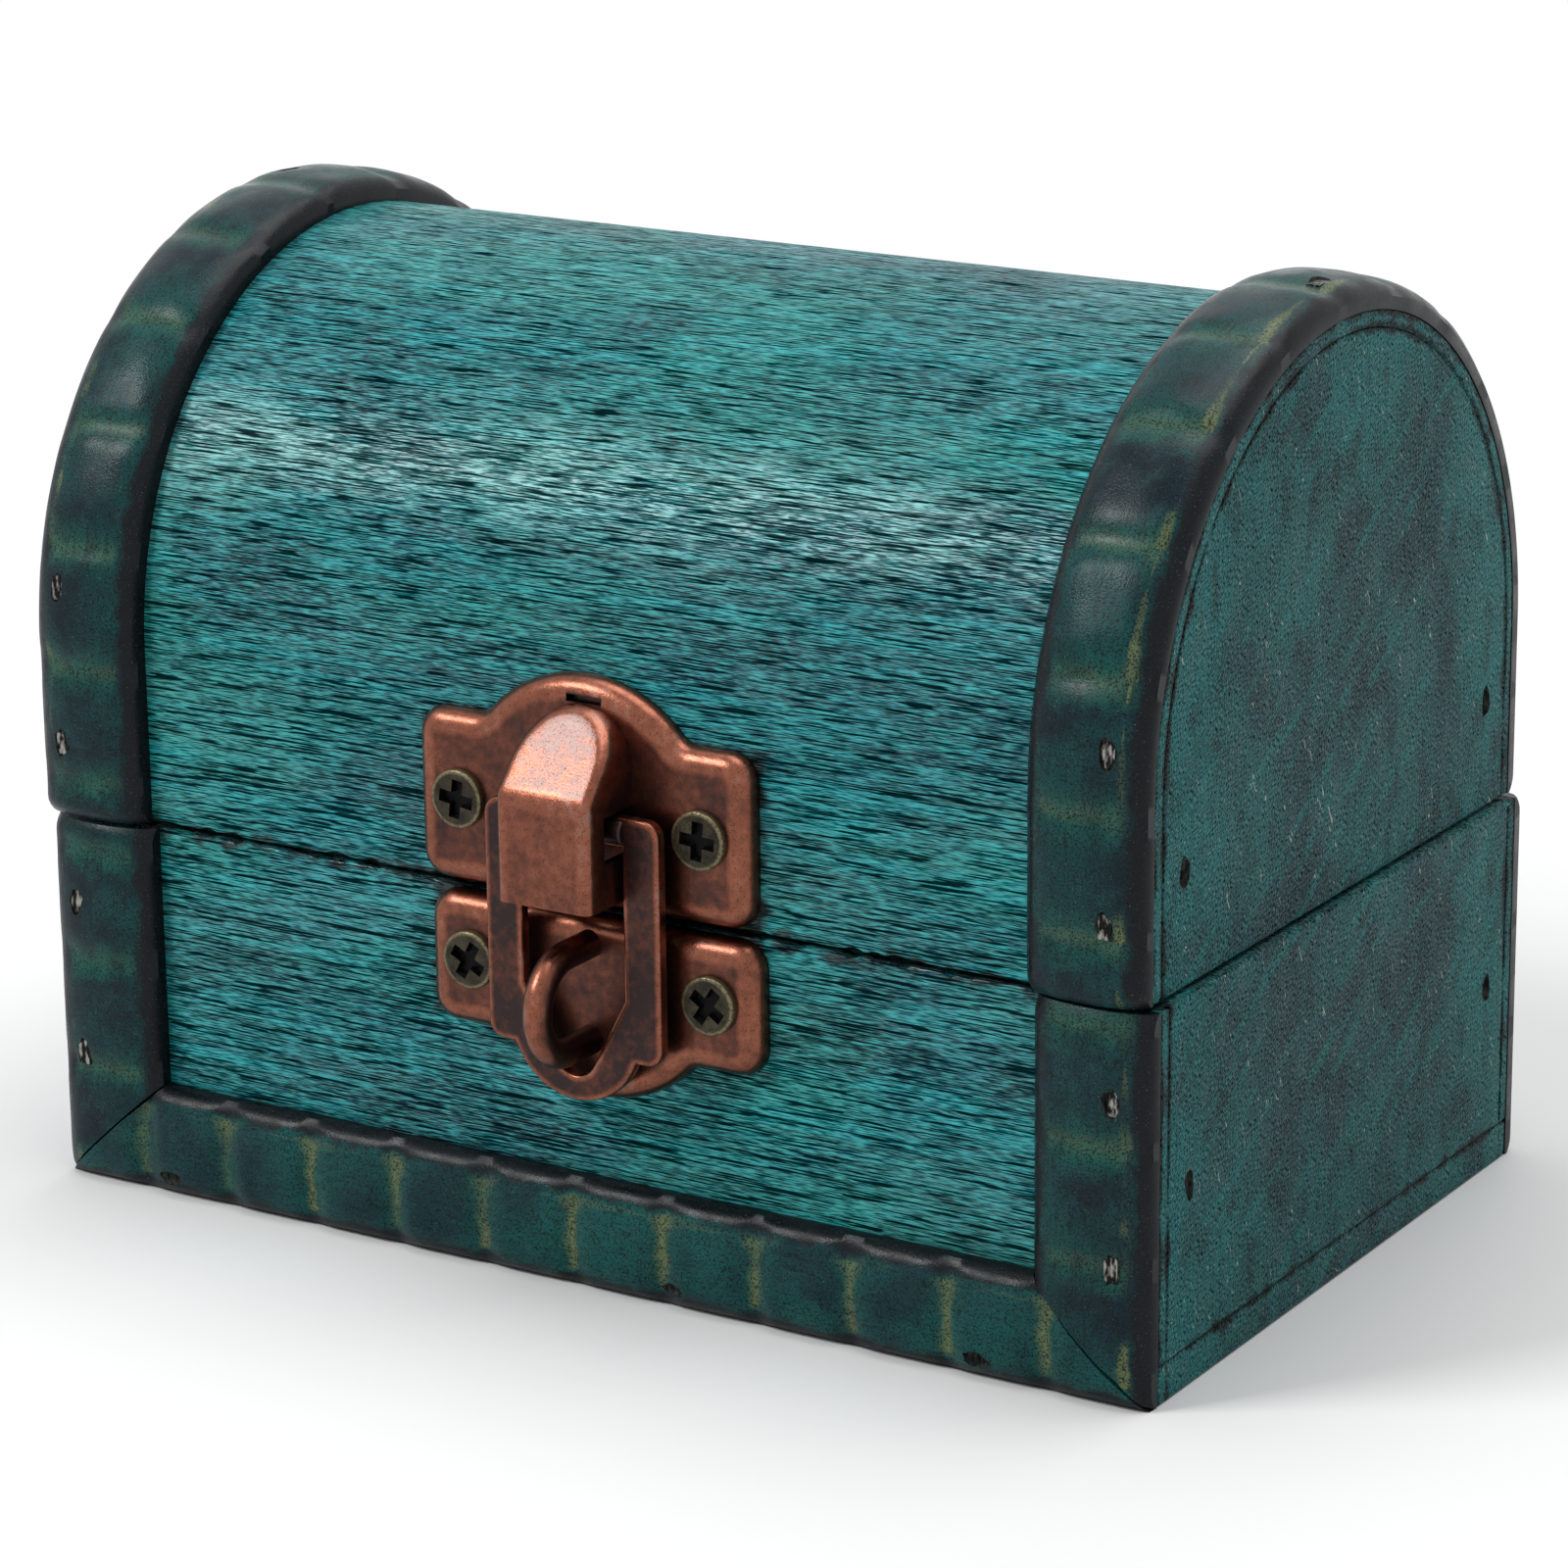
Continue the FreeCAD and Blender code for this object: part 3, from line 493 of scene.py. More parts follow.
def band_stain(name, shade, tint, line_amount, wedge_amount, line_width):
    """Nearly black stain on a moulding, green where its grooves are rubbed, olive on their lines.

    The map of a band runs across it from 0 at its inner edge to 1, and along it by one for each groove."""
    fibre = (0.035, 0.3, 1.0)
    blotch = 8 * mm
    mottle = 1.8 * mm
    pore = 0.14 * mm
    grit = 0.1 * mm
    pore_depth = 0.03 * mm
    finish = Finish(name, {"Specular IOR Level": 0.15})
    fibres = finish.cloud(fibre, detail=3.0, source="UV")
    blotches = finish.cloud(blotch, detail=3.0, twist=0.4)
    mottles = finish.cloud(mottle, detail=4.0)
    pores = finish.cloud(pore)
    grits = finish.cloud(grit, detail=0.0)
    across = finish.along("X", "UV")
    step = finish.math("FRACT", finish.waver(finish.along("Y", "UV"), mottles, 0.03))
    from_groove = finish.math("SUBTRACT", 0.5, finish.gap(step, 0.5))
    ragged = finish.waver(finish.gap(across, 0.5), mottles, 0.04)
    crown = finish.ramp(ragged, 0.31, 0.37, 1.0, 0.0)
    rubbed = finish.product(
        finish.ramp(from_groove, 0.05, 0.26, 1.0, 0.0), crown, finish.ramp(mottles, 0.36, 0.6, 0.3, 0.95))
    width = finish.ramp(across, 0.66, 0.84, line_width, line_width * 2.2)
    line = finish.ramp(finish.math("DIVIDE", from_groove, width), 0.1, 1.0, line_amount, 0.0)
    line = finish.product(line, crown, finish.ramp(blotches, 0.36, 0.56, 0.25, 1.0))
    from_shoulder = finish.waver(finish.gap(across, 0.825), mottles, 0.012)
    taper = finish.ramp(step, 0.1, 0.8, 0.06, 0.004)
    wedge = finish.ramp(finish.math("DIVIDE", from_shoulder, taper), 0.4, 1.0, wedge_amount, 0.0)
    wedge = finish.product(wedge, finish.ramp(blotches, 0.48, 0.6))
    olive = finish.product(finish.math("MAXIMUM", line, wedge), finish.ramp(pores, 0.3, 0.55, 0.5, 1.0))
    body = finish.coats(
        colour(*shade),
        (blotches, (0.42, 0.62), tint),
        (mottles, (0.52, 0.7, 0.0, 0.6), (24, 70, 74)))
    body = finish.paint(rubbed, body, colour(18, 84, 75))
    # The outer part of each flank is painted nearly black: painted shade on the band's steep sides.
    finish.drive("Base Color", finish.coats(
        finish.paint(olive, body, colour(112, 120, 78)),
        (ragged, (0.36, 0.41), (19, 24, 28)),
        (fibres, (0.34, 0.46, 0.4, 0.0), (9, 20, 24)),
        (pores, (0.38, 0.5, 0.85, 0.0), (4, 12, 15)),
        (grits, (0.76, 0.8, 0.0, 0.5), (96, 110, 108))))
    finish.drive("Roughness", finish.ramp(mottles, 0.35, 0.65, 0.2, 0.38))
    finish.relief(finish.paint(0.35, pores, fibres), pore_depth)
    return finish.material


def band_height(across_share):
    """The height of a band over the wood, at a share of its width from its middle to its edge."""
    rise = band_crown - band_edge
    return band_edge + rise * (1 - abs(across_share) ** crown_flatness) ** (1 / shoulder_sharpness)


def only(kind, geom):
    """The parts of one kind among those that an operator returns."""
    return [part for part in geom if isinstance(part, kind)]


def carved_band(width, run, first_groove, pillow, groove_depth, rounded_ends, brad_places, outer):
    """A straight carved moulding: X across it, Y along it, Z off the wood, with a pit over each brad.

    Its outer edge is at 0 or at its width."""
    bm = bmesh.new()
    rows = round(run / band_cell)
    stretch = Matrix.Diagonal((width, run, 1, 1)) @ Matrix.Translation((0.5, 0.5, 0))
    bmesh.ops.create_grid(bm, x_segments=band_columns, y_segments=rows, size=0.5, matrix=stretch)
    top = bmesh.ops.extrude_face_region(bm, geom=bm.faces[:])["geom"]
    for vert in only(bmesh.types.BMVert, top):
        share = 2 * vert.co.x / width - 1
        height = band_height(max(-1.0, min(1.0, share)))
        spot = Vector((vert.co.x, vert.co.y, run)) / band_dent_length
        wander = noise.noise(Vector((vert.co.x / width, vert.co.y / pillow, run / pillow)))
        along = vert.co.y + groove_wander * wander
        from_groove = (along - first_groove + pillow / 2) % pillow - pillow / 2
        crown = max(0.0, 1 - share ** 4)
        uneven = 0.75 + 0.5 * noise.noise(Vector((run, vert.co.y, width)) / pillow)
        height -= groove_depth * uneven * crown * math.exp(-(from_groove / groove_half_width) ** 2)
        height -= band_dent * crown * (0.5 + 0.5 * noise.noise(spot))
        for end, rounded in zip((0, run), rounded_ends):
            gap = abs(vert.co.y - end)
            if rounded and gap < band_end_round:
                height -= band_end_round * 0.5 * (1 - gap / band_end_round) ** 2
        vert.co.z = height
    run_map = bm.loops.layers.uv.new("run")
    for face in bm.faces:
        for loop in face.loops:
            along = (loop.vert.co.y - first_groove) / pillow
            loop[run_map].uv = (1 - abs(outer - loop.vert.co.x) / width, along + band_columns)
    pits = []
    for across, along in brad_places:
        place = Vector((across, along, band_height(2 * across / width - 1)))
        pits.append(nail_pit(place, Vector((0, 1, 0)), Vector((0, 0, 1))))
    return carved(bm, gather(pits), [dark_stain, pit_wood])


def slice_off(bm, place, outward):
    """Cuts off what lies outward of a plane, and closes the cut."""
    cut = bmesh.ops.bisect_plane(
        bm, geom=bm.verts[:] + bm.edges[:] + bm.faces[:], plane_co=place, plane_no=outward, clear_outer=True)
    bmesh.ops.holes_fill(bm, edges=only(bmesh.types.BMEdge, cut["geom_cut"]))


def mitre(bm, corner, inner):
    """Cuts a straight band along the line from an outer corner to the inner end of its mitre."""
    line = Vector((inner[0] - corner[0], inner[1] - corner[1], 0)).normalized()
    square = Vector((-line.y, line.x, 0))
    start = Vector((*corner, 0))
    middle = sum((vert.co for vert in bm.verts), Vector()) / len(bm.verts)
    if square.dot(middle - start) > 0:
        square = -square
    slice_off(bm, start - square * mitre_gap, square)


def stand(bm, place):
    """Moves every point of a straight band to where `place` puts it on the chest."""
    for vert in bm.verts:
        vert.co = place(*vert.co)


dark_stain = band_stain("band_stain", (10, 34, 42), (10, 66, 66), 0.24, 0.75, 0.1)
bottom_stain = band_stain("bottom_band_stain", (12, 52, 58), (14, 84, 82), 0.85, 0.25, 0.09)
bottom_low, bottom_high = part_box("bottom_band")
foot_height = bottom_high.z - bottom_low.z
for face_name, outward in (("front", -1), ("back", 1)):
    wood_face = outward * sheet_face
    for side in ("left", "right"):
        node = f"base_{face_name}_band_{side}"
        low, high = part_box(node)
        width = high.x - low.x
        run = high.z
        outer = width if side == "right" else 0.0
        brads = [(abs(outer - brad_from_edge), run * share) for share in base_band_brad_shares]
        start = run - base_groove_starts[side]
        band = carved_band(
            width, run, start, base_pillow, upright_groove_depth, (True, True), brads, outer)
        if face_name == "front":
            mitre(band, (outer, 0), (width - outer, foot_height))
        stand(band, lambda across, along, up: Vector((low.x + across, wood_face + outward * up, along)))
        make_piece(node, "carved", band, [dark_stain, pit_wood], "base")

run = bottom_high.x - bottom_low.x
brads = [(bottom_high.z * bottom_brad_height_share, run * share) for share in bottom_band_brad_shares]
band = carved_band(
    foot_height, run, bottom_pillow, bottom_pillow, bottom_groove_depth, (False, False), brads, foot_height)
mitre(band, (0, 0), (foot_height, width))
mitre(band, (0, run), (foot_height, run - width))
front_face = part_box("base_front_sheet")[0].y
stand(band, lambda across, along, up: Vector((bottom_low.x + along, front_face - up, across)))
make_piece("bottom_band", "carved", band, [bottom_stain, pit_wood], "base")

# Brads: flat steel nails through the bands and the end panels, their heads driven below the wood by a nail
# gun. Their steel is painted dark as the shade in the pits, with bright scuffs that are painted glints.


def brad_steel():
    """Steel painted dark as the shade in its pit, scuffed, with bright spots painted as glints."""
    scuff_and_glint = (0.3 * mm, 0.3 * mm, 0.9 * mm)
    scuff_depth = 0.05 * mm
    finish = Finish("brad_steel", {"Metallic": 0.85})
    scuffs_and_glints = finish.cloud(scuff_and_glint, detail=3.0)
    # Dark as painted shade, with bright spots as painted glints.
    finish.drive("Base Color", finish.coats(colour(16, 17, 18), (scuffs_and_glints, (0.5, 0.64), (150, 148, 142))))
    finish.drive("Roughness", finish.ramp(scuffs_and_glints, 0.35, 0.65, 0.5, 0.26))
    finish.relief(scuffs_and_glints, scuff_depth)
    return finish.material


def dress(material, *nodes):
    """Gives solids that stay as they are a finish."""
    for node in nodes:
        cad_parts[node].data.materials.clear()
        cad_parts[node].data.materials.append(material)


steel = brad_steel()
dress(steel, "base_band_brads", "base_end_brads", "lid_band_brads", "lid_end_brads")

# Lower latch plate: thin steel pressed into a shallow dish with two ears and a round lobe, copper-plated and
# browned, then rubbed bright on its rim. Two screws hold it to the front of the base.
plate_corner = 2.0 * mm
plate_blend = 1.6 * mm
plate_rim = 1.35 * mm
lobe_radius = 10.5 * mm
wear_reach = 0.45 * mm
plate_wear = 0.42
touching = 0.01 * mm
rim_steps = 6
corner_steps = 6
lobe_steps = 36


def antique_copper():
    """Copper plate browned with age: orange where rubbed bare, brown-purple under tarnish, pale pink painted
    as a highlight.
    """
    tarnish = 4 * mm
    spot = 0.7 * mm
    speck = 0.13 * mm
    scratch = (0.09 * mm, 0.09 * mm, 0.9 * mm)
    scratch_turn = (0, math.radians(32), 0)
    speck_depth = 0.02 * mm
    finish = Finish("antique_copper", {"Metallic": 1.0, "Coat Weight": 0.2, "Coat Roughness": 0.25})
    tarnishes = finish.cloud(tarnish, detail=3.0)
    spots = finish.cloud(spot, detail=3.0)
    specks = finish.cloud(speck, detail=1.0)
    scratches = finish.cloud(scratch, detail=1.0, turn=scratch_turn)
    worn = finish.add("Attribute", {}, "Fac", attribute_name="wear")
    worn = finish.waver(finish.waver(worn, spots, 0.22), tarnishes, 0.2)
    # Wear past 1.1, given to the hood's slope, paints it pale pink: a painted highlight.
    finish.drive("Base Color", finish.coats(
        colour(50, 37, 37),
        (worn, (0.0, 0.45), (92, 54, 43)),
        (worn, (0.45, 1.1), (138, 82, 62)),
        (worn, (1.1, 1.6), (142, 118, 112)),
        (specks, (0.3, 0.42, 0.6, 0.0), (44, 30, 28)),
        (scratches, (0.24, 0.32, 0.55, 0.0), (50, 34, 31))))
    sheen_roughness = finish.ramp(worn, 1.1, 1.5, 0.0, 0.2)
    finish.drive("Roughness", finish.math("ADD", finish.ramp(worn, 0.0, 1.0, 0.42, 0.28), sheen_roughness))
    finish.relief(finish.paint(0.4, specks, spots), speck_depth)
    return finish.material


def draw(bm, start, *strokes):
    """Draws an outline on an upright plane, by straight strokes to a point and round ones about a centre.

    A round stroke also has its degrees, anticlockwise as seen from the front, and its steps."""
    pen = bm.verts.new(start)
    for x, z, *turn in strokes:
        place = (x, pen.co.y, z)
        if turn:
            degrees, steps = turn
            arc = bmesh.ops.spin(
                bm, geom=[pen], cent=place, axis=(0, -1, 0), angle=math.radians(degrees), steps=steps)
            pen = arc["geom_last"][0]
        else:
            end = bm.verts.new(place)
            bm.edges.new((pen, end))
            pen = end


def close_outline(bm):
    """Joins the ends of a drawn outline and fills it with one flat face."""
    bmesh.ops.remove_doubles(bm, verts=bm.verts[:], dist=touching)
    bmesh.ops.contextual_create(bm, geom=bm.edges[:])


def thicken(bm, depth):
    """Gives a flat outline a depth towards the front."""
    grown = bmesh.ops.extrude_face_region(bm, geom=bm.faces[:])["geom"]
    bmesh.ops.translate(bm, verts=only(bmesh.types.BMVert, grown), vec=(0, -depth, 0))


def rub_edges(bm, edges, ease, segments, reach, left_on_flats):
    """Rounds edges and marks them as worn. The flat faces at the front and back keep more tarnish."""
    wear = bm.verts.layers.float.get("wear") or bm.verts.layers.float.new("wear")
    rounded = round_off(bm, edges, ease, segments)
    for vert in rounded["verts"]:
        vert[wear] = 1.0
    soft = set(rounded["faces"])
    for facing in (-1, 1):
        flat = [face for face in bm.faces if face not in soft and face.normal.y * facing > 0.7]
        bmesh.ops.inset_region(bm, faces=flat, thickness=reach, use_even_offset=True)
        for vert in {vert for face in flat for vert in face.verts}:
            vert[wear] = left_on_flats


def edges_at(bm, y):
    """The edges of a shape that lie in the upright plane at `y`."""
    return [edge for edge in bm.edges if all(abs(vert.co.y - y) < touching for vert in edge.verts)]


def latch_plate(node, straight_level, tip_level, ear):
    """A pressed plate with square ears along the seam and a round lobe away from it."""
    low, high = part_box(node)
    middle = (low.x + high.x) / 2
    half_width = (high.x - low.x) / 2
    away = 1 if tip_level > straight_level else -1
    ear_level = straight_level + away * ear
    lobe_level = tip_level - away * lobe_radius
    blend_level = ear_level + away * plate_blend
    blend_x = math.sqrt((lobe_radius + plate_blend) ** 2 - (blend_level - lobe_level) ** 2)
    blend_turn = math.degrees(math.atan2(blend_x, abs(blend_level - lobe_level)))
    corner_x = half_width - plate_corner
    near_level = straight_level + away * plate_corner
    far_level = ear_level - away * plate_corner
    corner = (90 * away, corner_steps)
    blend = (-blend_turn * away, corner_steps)
    bm = bmesh.new()
    draw(bm, (middle - corner_x, high.y, straight_level),
         (middle + corner_x, straight_level),
         (middle + corner_x, near_level, *corner),
         (middle + half_width, far_level),
         (middle + corner_x, far_level, *corner),
         (middle + blend_x, ear_level),
         (middle + blend_x, blend_level, *blend),
         (middle, lobe_level, 2 * blend_turn * away, lobe_steps),
         (middle - blend_x, blend_level, *blend),
         (middle - corner_x, ear_level),
         (middle - corner_x, far_level, *corner),
         (middle - half_width, near_level),
         (middle - corner_x, near_level, *corner))
    close_outline(bm)
    thicken(bm, high.y - low.y)
    rub_edges(bm, edges_at(bm, low.y), plate_rim, rim_steps, wear_reach, plate_wear)
    return bm


copper = antique_copper()
low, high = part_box("latch_lower_plate")
plate = latch_plate("latch_lower_plate", high.z, low.z, lower_ear)
make_piece("latch_lower_plate", "pressed", plate, [copper], "base")

# Staple: a loop of thick copper-plated wire, bent round and riveted through the lower plate. The hasp's eye
# drops over it, and rubs it bright on the outside of the bend.
wire_sides = 24
bend_steps = 28


def bent_staple():
    """Two straight legs and a half-round bend."""
    low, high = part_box("latch_staple")
    wire = (high.x - low.x) / 2
    middle = (low + high) / 2
    leg_gap = (high.z - low.z) / 2 - wire
    bend_y = low.y + wire + leg_gap
    bm = bmesh.new()
    facing = Matrix.Translation((middle.x, high.y, middle.z + leg_gap)) @ Matrix.Rotation(math.pi / 2, 4, "X")
    bmesh.ops.create_circle(bm, segments=wire_sides, radius=wire, cap_ends=False, matrix=facing)
    wear = bm.verts.layers.float.new("wear")

    def lead(edges, travel):
        grown = bmesh.ops.extrude_edge_only(bm, edges=edges)["geom"]
        bmesh.ops.translate(bm, verts=only(bmesh.types.BMVert, grown), vec=(0, travel, 0))

    def ring(geom):
        verts = set(only(bmesh.types.BMVert, geom))
        return [edge for edge in bm.edges if edge.verts[0] in verts and edge.verts[1] in verts]

    lead(bm.edges[:], bend_y - high.y)
    top_ring = [vert for vert in bm.verts if abs(vert.co.y - bend_y) < wire / wire_sides]
    bend = bmesh.ops.spin(
        bm, geom=ring(top_ring) + top_ring, cent=(middle.x, bend_y, middle.z), axis=(1, 0, 0),
        angle=math.pi, steps=bend_steps)
    lead(ring(bend["geom_last"]), high.y - bend_y)
    bmesh.ops.holes_fill(bm, edges=bm.edges[:])
    outside = bend_y - low.y
    for vert in bm.verts:
        from_bend = math.hypot(min(0.0, vert.co.y - bend_y), vert.co.z - middle.z)
        vert[wear] = max(0.0, (from_bend - leg_gap) / (outside - leg_gap)) if vert.co.y < bend_y else 0.0
    return bm


make_piece("latch_staple", "bent", bent_staple(), [copper], "base")

# Lower screws: small countersunk screws of bronzed steel with a cross recess. Their flat heads stand a little
# proud of the plate, with a bright chipped rim and a recess painted black as the shade in it.
head_sides = 40
head_rim = 0.16 * mm
head_rim_steps = 3
head_depth = 0.75 * mm
recess_length_share = 0.78
recess_width_share = 0.25
recess_depth = 0.5 * mm
recess_floor_share = 0.7
lower_screw_turns = (28, 33)


def bronzed_steel():
    """Olive-brown bronzing, pitted and smeared, rubbed to bare metal at the rim."""
    smear = 1.1 * mm
    pit = 0.2 * mm
    bronze_relief = 0.03 * mm
    finish = Finish("bronzed_steel", {"Metallic": 0.75})
    smears = finish.cloud(smear, detail=3.0)
    pits = finish.cloud(pit)
    worn = finish.add("Attribute", {}, "Fac", attribute_name="wear")
    bare = finish.product(worn, finish.ramp(pits, 0.35, 0.55, 0.3, 1.0))
    body = finish.coats(
        colour(38, 34, 27),
        (smears, (0.36, 0.62), (66, 60, 46)),
        (pits, (0.32, 0.44, 0.65, 0.0), (28, 26, 22)))
    finish.drive("Base Color", finish.paint(bare, body, colour(118, 110, 82)))
    finish.drive("Roughness", finish.ramp(pits, 0.35, 0.65, 0.5, 0.32))
    finish.relief(pits, bronze_relief)
    return finish.material


def recess_painted_shade():
    """The walls of a screw's recess and of the plate's slot, painted black as the shade in them, with a
    greasy shine.
    """
    grime = 0.25 * mm
    grime_depth = 0.05 * mm
    finish = Finish("recess_painted_shade", {"Specular IOR Level": 0.1})
    grimes = finish.cloud(grime)
    finish.drive("Base Color", finish.coats(colour(2, 2, 2), (grimes, (0.45, 0.75), (14, 13, 12))))
    finish.drive("Roughness", finish.ramp(grimes, 0.4, 0.6, 0.35, 0.6))
    finish.relief(grimes, grime_depth)
    return finish.material


def screw_head(radius, degrees):
    """A screw head at the origin, facing the front, with its cross recess turned by some degrees."""
    bm = bmesh.new()
    back = Matrix.Translation((0, head_depth, 0)) @ Matrix.Rotation(math.pi / 2, 4, "X")
    bmesh.ops.create_circle(bm, segments=head_sides, radius=radius, cap_ends=True, matrix=back)
    thicken(bm, head_depth)
    rub_edges(bm, edges_at(bm, 0), head_rim, head_rim_steps, head_rim, 0.0)
    arm_reach = Vector((radius * recess_length_share, recess_depth, radius * recess_width_share))
    for quarter in (0, 90):
        arm = block(-arm_reach, arm_reach)
        floor = [vert for vert in arm.verts if vert.co.y > 0]
        bmesh.ops.scale(arm, vec=(recess_floor_share, 1, recess_floor_share), verts=floor)
        turn = Matrix.Rotation(math.radians(degrees + quarter), 3, "Y")
        bmesh.ops.rotate(arm, cent=(0, 0, 0), matrix=turn, verts=arm.verts[:])
        bm = carved(bm, arm, [bronze, recess])
    return bm


def make_screws(node, body, radius, places, half_turns=0):
    """Screw heads as one piece. A place is a point on a head's face and the turn of its recess."""
    heads = []
    for place, degrees in places:
        head = screw_head(radius, degrees)
        move = Matrix.Translation(place) @ Matrix.Rotation(math.pi * half_turns, 4, "Z")
        bmesh.ops.transform(head, matrix=move, verts=head.verts[:])
        heads.append(head)
    make_piece(node, "turned", gather(heads), [bronze, recess], body)


def make_latch_screws(node, body, turns):
    """The left and right screws of a latch plate."""
    low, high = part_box(node)
    radius = (high.z - low.z) / 2
    level = (low.z + high.z) / 2
    places = [Vector((x, low.y, level)) for x in (low.x + radius, high.x - radius)]
    make_screws(node, body, radius, zip(places, turns))


bronze = bronzed_steel()
recess = recess_painted_shade()
make_latch_screws("latch_lower_screws", "base", lower_screw_turns)

# Lid end panels: round-topped boards of the same wood as the base panels, cut to the curve that the lid's
# sheet is bent over. They are stained with the base panels, and nailed in the same way.
lid_end_brad_height = 35.72 * mm
arch_steps = 48
square_degrees = 60


def sharp_edges(bm, degrees):
    """The edges between two faces that turn by more than some degrees."""
    return [edge for edge in bm.edges if edge.calc_face_angle(0.0) > math.radians(degrees)]


for side in ("left", "right"):
    node = "lid_end_" + side
    low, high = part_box(node)
    spring = high.z - high.y
    panel = bmesh.new()
    draw(panel, (low.y, 0, low.z),
         (high.y, low.z), (high.y, spring), (0, spring, 180, arch_steps), (low.y, low.z))
    close_outline(panel)
    thicken(panel, high.x - low.x)
    turn = Matrix.Translation((low.x, 0, 0)) @ Matrix.Rotation(math.pi / 2, 4, "Z")
    bmesh.ops.transform(panel, matrix=turn, verts=panel.verts[:])
    round_off(panel, sharp_edges(panel, square_degrees), panel_ease)
    make_end_panel(node, panel, "lid", lid_end_brad_height)

# Lid rails: plain sawn rails glued behind the sheet at the front and the back, which the latch and hinge
# screws bite into. They show only when the lid is up.
for side in ("front", "back"):
    node = "lid_" + side + "_rail"
    make_piece(node, "eased", eased_board(*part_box(node), board_ease), [inner_wood], "lid")

# Lid sheet: one thin sheet of the same open-grained wood, bent over the end panels with its grain along the
# chest, glued down from seam to seam, and chipped along the seam by the same saw cut as the base.
lid_columns = 112
lid_ease_steps = 2
wall_rows = 16
low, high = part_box("lid_sheet")
sheet_thickness = high.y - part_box("lid_end_right")[1].y
spring = high.z - high.y
sheet = bmesh.new()
upright = Matrix.Translation((low.x, low.y, low.z)) @ Matrix.Rotation(math.pi / 2, 4, "X")
upright = upright @ Matrix.Diagonal((high.x - low.x, spring - low.z, 1, 1))
upright = upright @ Matrix.Translation((0.5, 0.5, 0))
bmesh.ops.create_grid(sheet, x_segments=lid_columns, y_segments=wall_rows, size=0.5, matrix=upright)
near_spring = (spring - low.z) / wall_rows / 2
back_wall = bmesh.ops.duplicate(sheet, geom=sheet.faces[:])["geom"]
bmesh.ops.rotate(sheet, cent=((low.x + high.x) / 2, 0, 0), matrix=Matrix.Rotation(math.pi, 3, "Z"),
                 verts=only(bmesh.types.BMVert, back_wall))
front_top = [edge for edge in sheet.edges
             if all(vert.co.z > spring - near_spring and vert.co.y < 0 for vert in edge.verts)]
bmesh.ops.spin(sheet, geom=front_top, cent=(0, 0, spring), axis=(-1, 0, 0), angle=math.pi, steps=arch_steps)
bmesh.ops.remove_doubles(sheet, verts=sheet.verts[:], dist=touching)
bmesh.ops.recalc_face_normals(sheet, faces=sheet.faces[:])
if sum(face.normal.z * face.calc_area() for face in sheet.faces) < 0:
    bmesh.ops.reverse_faces(sheet, faces=sheet.faces[:])
bmesh.ops.solidify(sheet, geom=sheet.faces[:], thickness=sheet_thickness)
round_off(sheet, sharp_edges(sheet, square_degrees), sheet_ease, lid_ease_steps)
chip_edge(sheet, low.z, 1)
darken_ends(sheet)
make_piece("lid_sheet", "bent", sheet, [stain, end_stain], "lid")

# Lid bands: the same half-round moulding as on the base, carved while straight and then bent over the two
# ends of the dome, from the front seam to the back seam. Five brads hold each one.
lid_groove_starts = {"left": 2.9 * mm, "right": 4.5 * mm}
lid_pillow = 8.3 * mm
lid_band_brad_shares = (0.05, 0.15, 0.5, 0.85, 0.95)
dome_radius = high.y
seam = low.z
run = 2 * (spring - seam) + math.pi * dome_radius


def over_the_dome(along, up):
    """The place, in depth and height, of a point of a lid band along its run and up off the sheet."""
    wall = spring - seam
    turn = (along - wall) / dome_radius
    if turn < 0:
        return -dome_radius - up, seam + along
    if turn > math.pi:
        return dome_radius + up, seam + 2 * wall + math.pi * dome_radius - along
    reach = dome_radius + up
    return -reach * math.cos(turn), spring + reach * math.sin(turn)


for side in ("left", "right"):
    node = "lid_band_" + side
    low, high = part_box(node)
    width = high.x - low.x
    outer = width if side == "right" else 0.0
    brads = [(abs(outer - brad_from_edge), run * share) for share in lid_band_brad_shares]
    band = carved_band(
        width, run, lid_groove_starts[side], lid_pillow, upright_groove_depth, (True, True), brads, outer)
    stand(band, lambda across, along, up: Vector((low.x + across, *over_the_dome(along, up))))
    make_piece(node, "carved", band, [dark_stain, pit_wood], "lid")

# Upper latch plate: the lower plate's taller twin, with its lobe pointing up and a slot punched through the
# lobe for the hood's tab. It is screwed to the front of the lid, a little to the left of the lower plate.
tab_slot_width = 2.8 * mm
tab_slot_height = 0.5 * mm
tab_rise = 0.5 * mm
low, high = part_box("latch_upper_plate")
plate = latch_plate("latch_upper_plate", low.z, high.z, upper_ear)
hood_low, hood_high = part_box("latch_hood")
slot_middle = Vector(((hood_low.x + hood_high.x) / 2, low.y, hood_high.z - tab_rise / 2))
slot_reach = Vector((tab_slot_width, high.y - low.y, tab_slot_height)) / 2
# The slot takes the recess material: painted black as the shade in it.
plate = carved(plate, block(slot_middle - slot_reach, slot_middle + slot_reach), [copper, recess])
make_piece("latch_upper_plate", "pressed", plate, [copper, recess], "lid")

# Hood: a pressed cap that holds the hasp's bar against the upper plate. Its top is round, its front slopes
# back to a crest, a notch in each side lets the bar swing, and a tab at the top is folded through the plate.
hood_fold_share = 0.585
hood_round_share = 0.98
hood_round_steps = 14
hood_crest = 1.6 * mm
hood_metal = 0.6 * mm
hood_edge = 0.75 * mm
hood_edge_steps = 5
hood_fold_degrees = 25
hood_wear = 0.66
hood_slope_wear_and_sheen = 1.4
tab_half_width = 1.3 * mm
tab_sink = 0.6 * mm
tab_ease = 0.1 * mm
notch_low = 32.6 * mm
notch_high = 35.9 * mm
notch_reach = 4.3 * mm


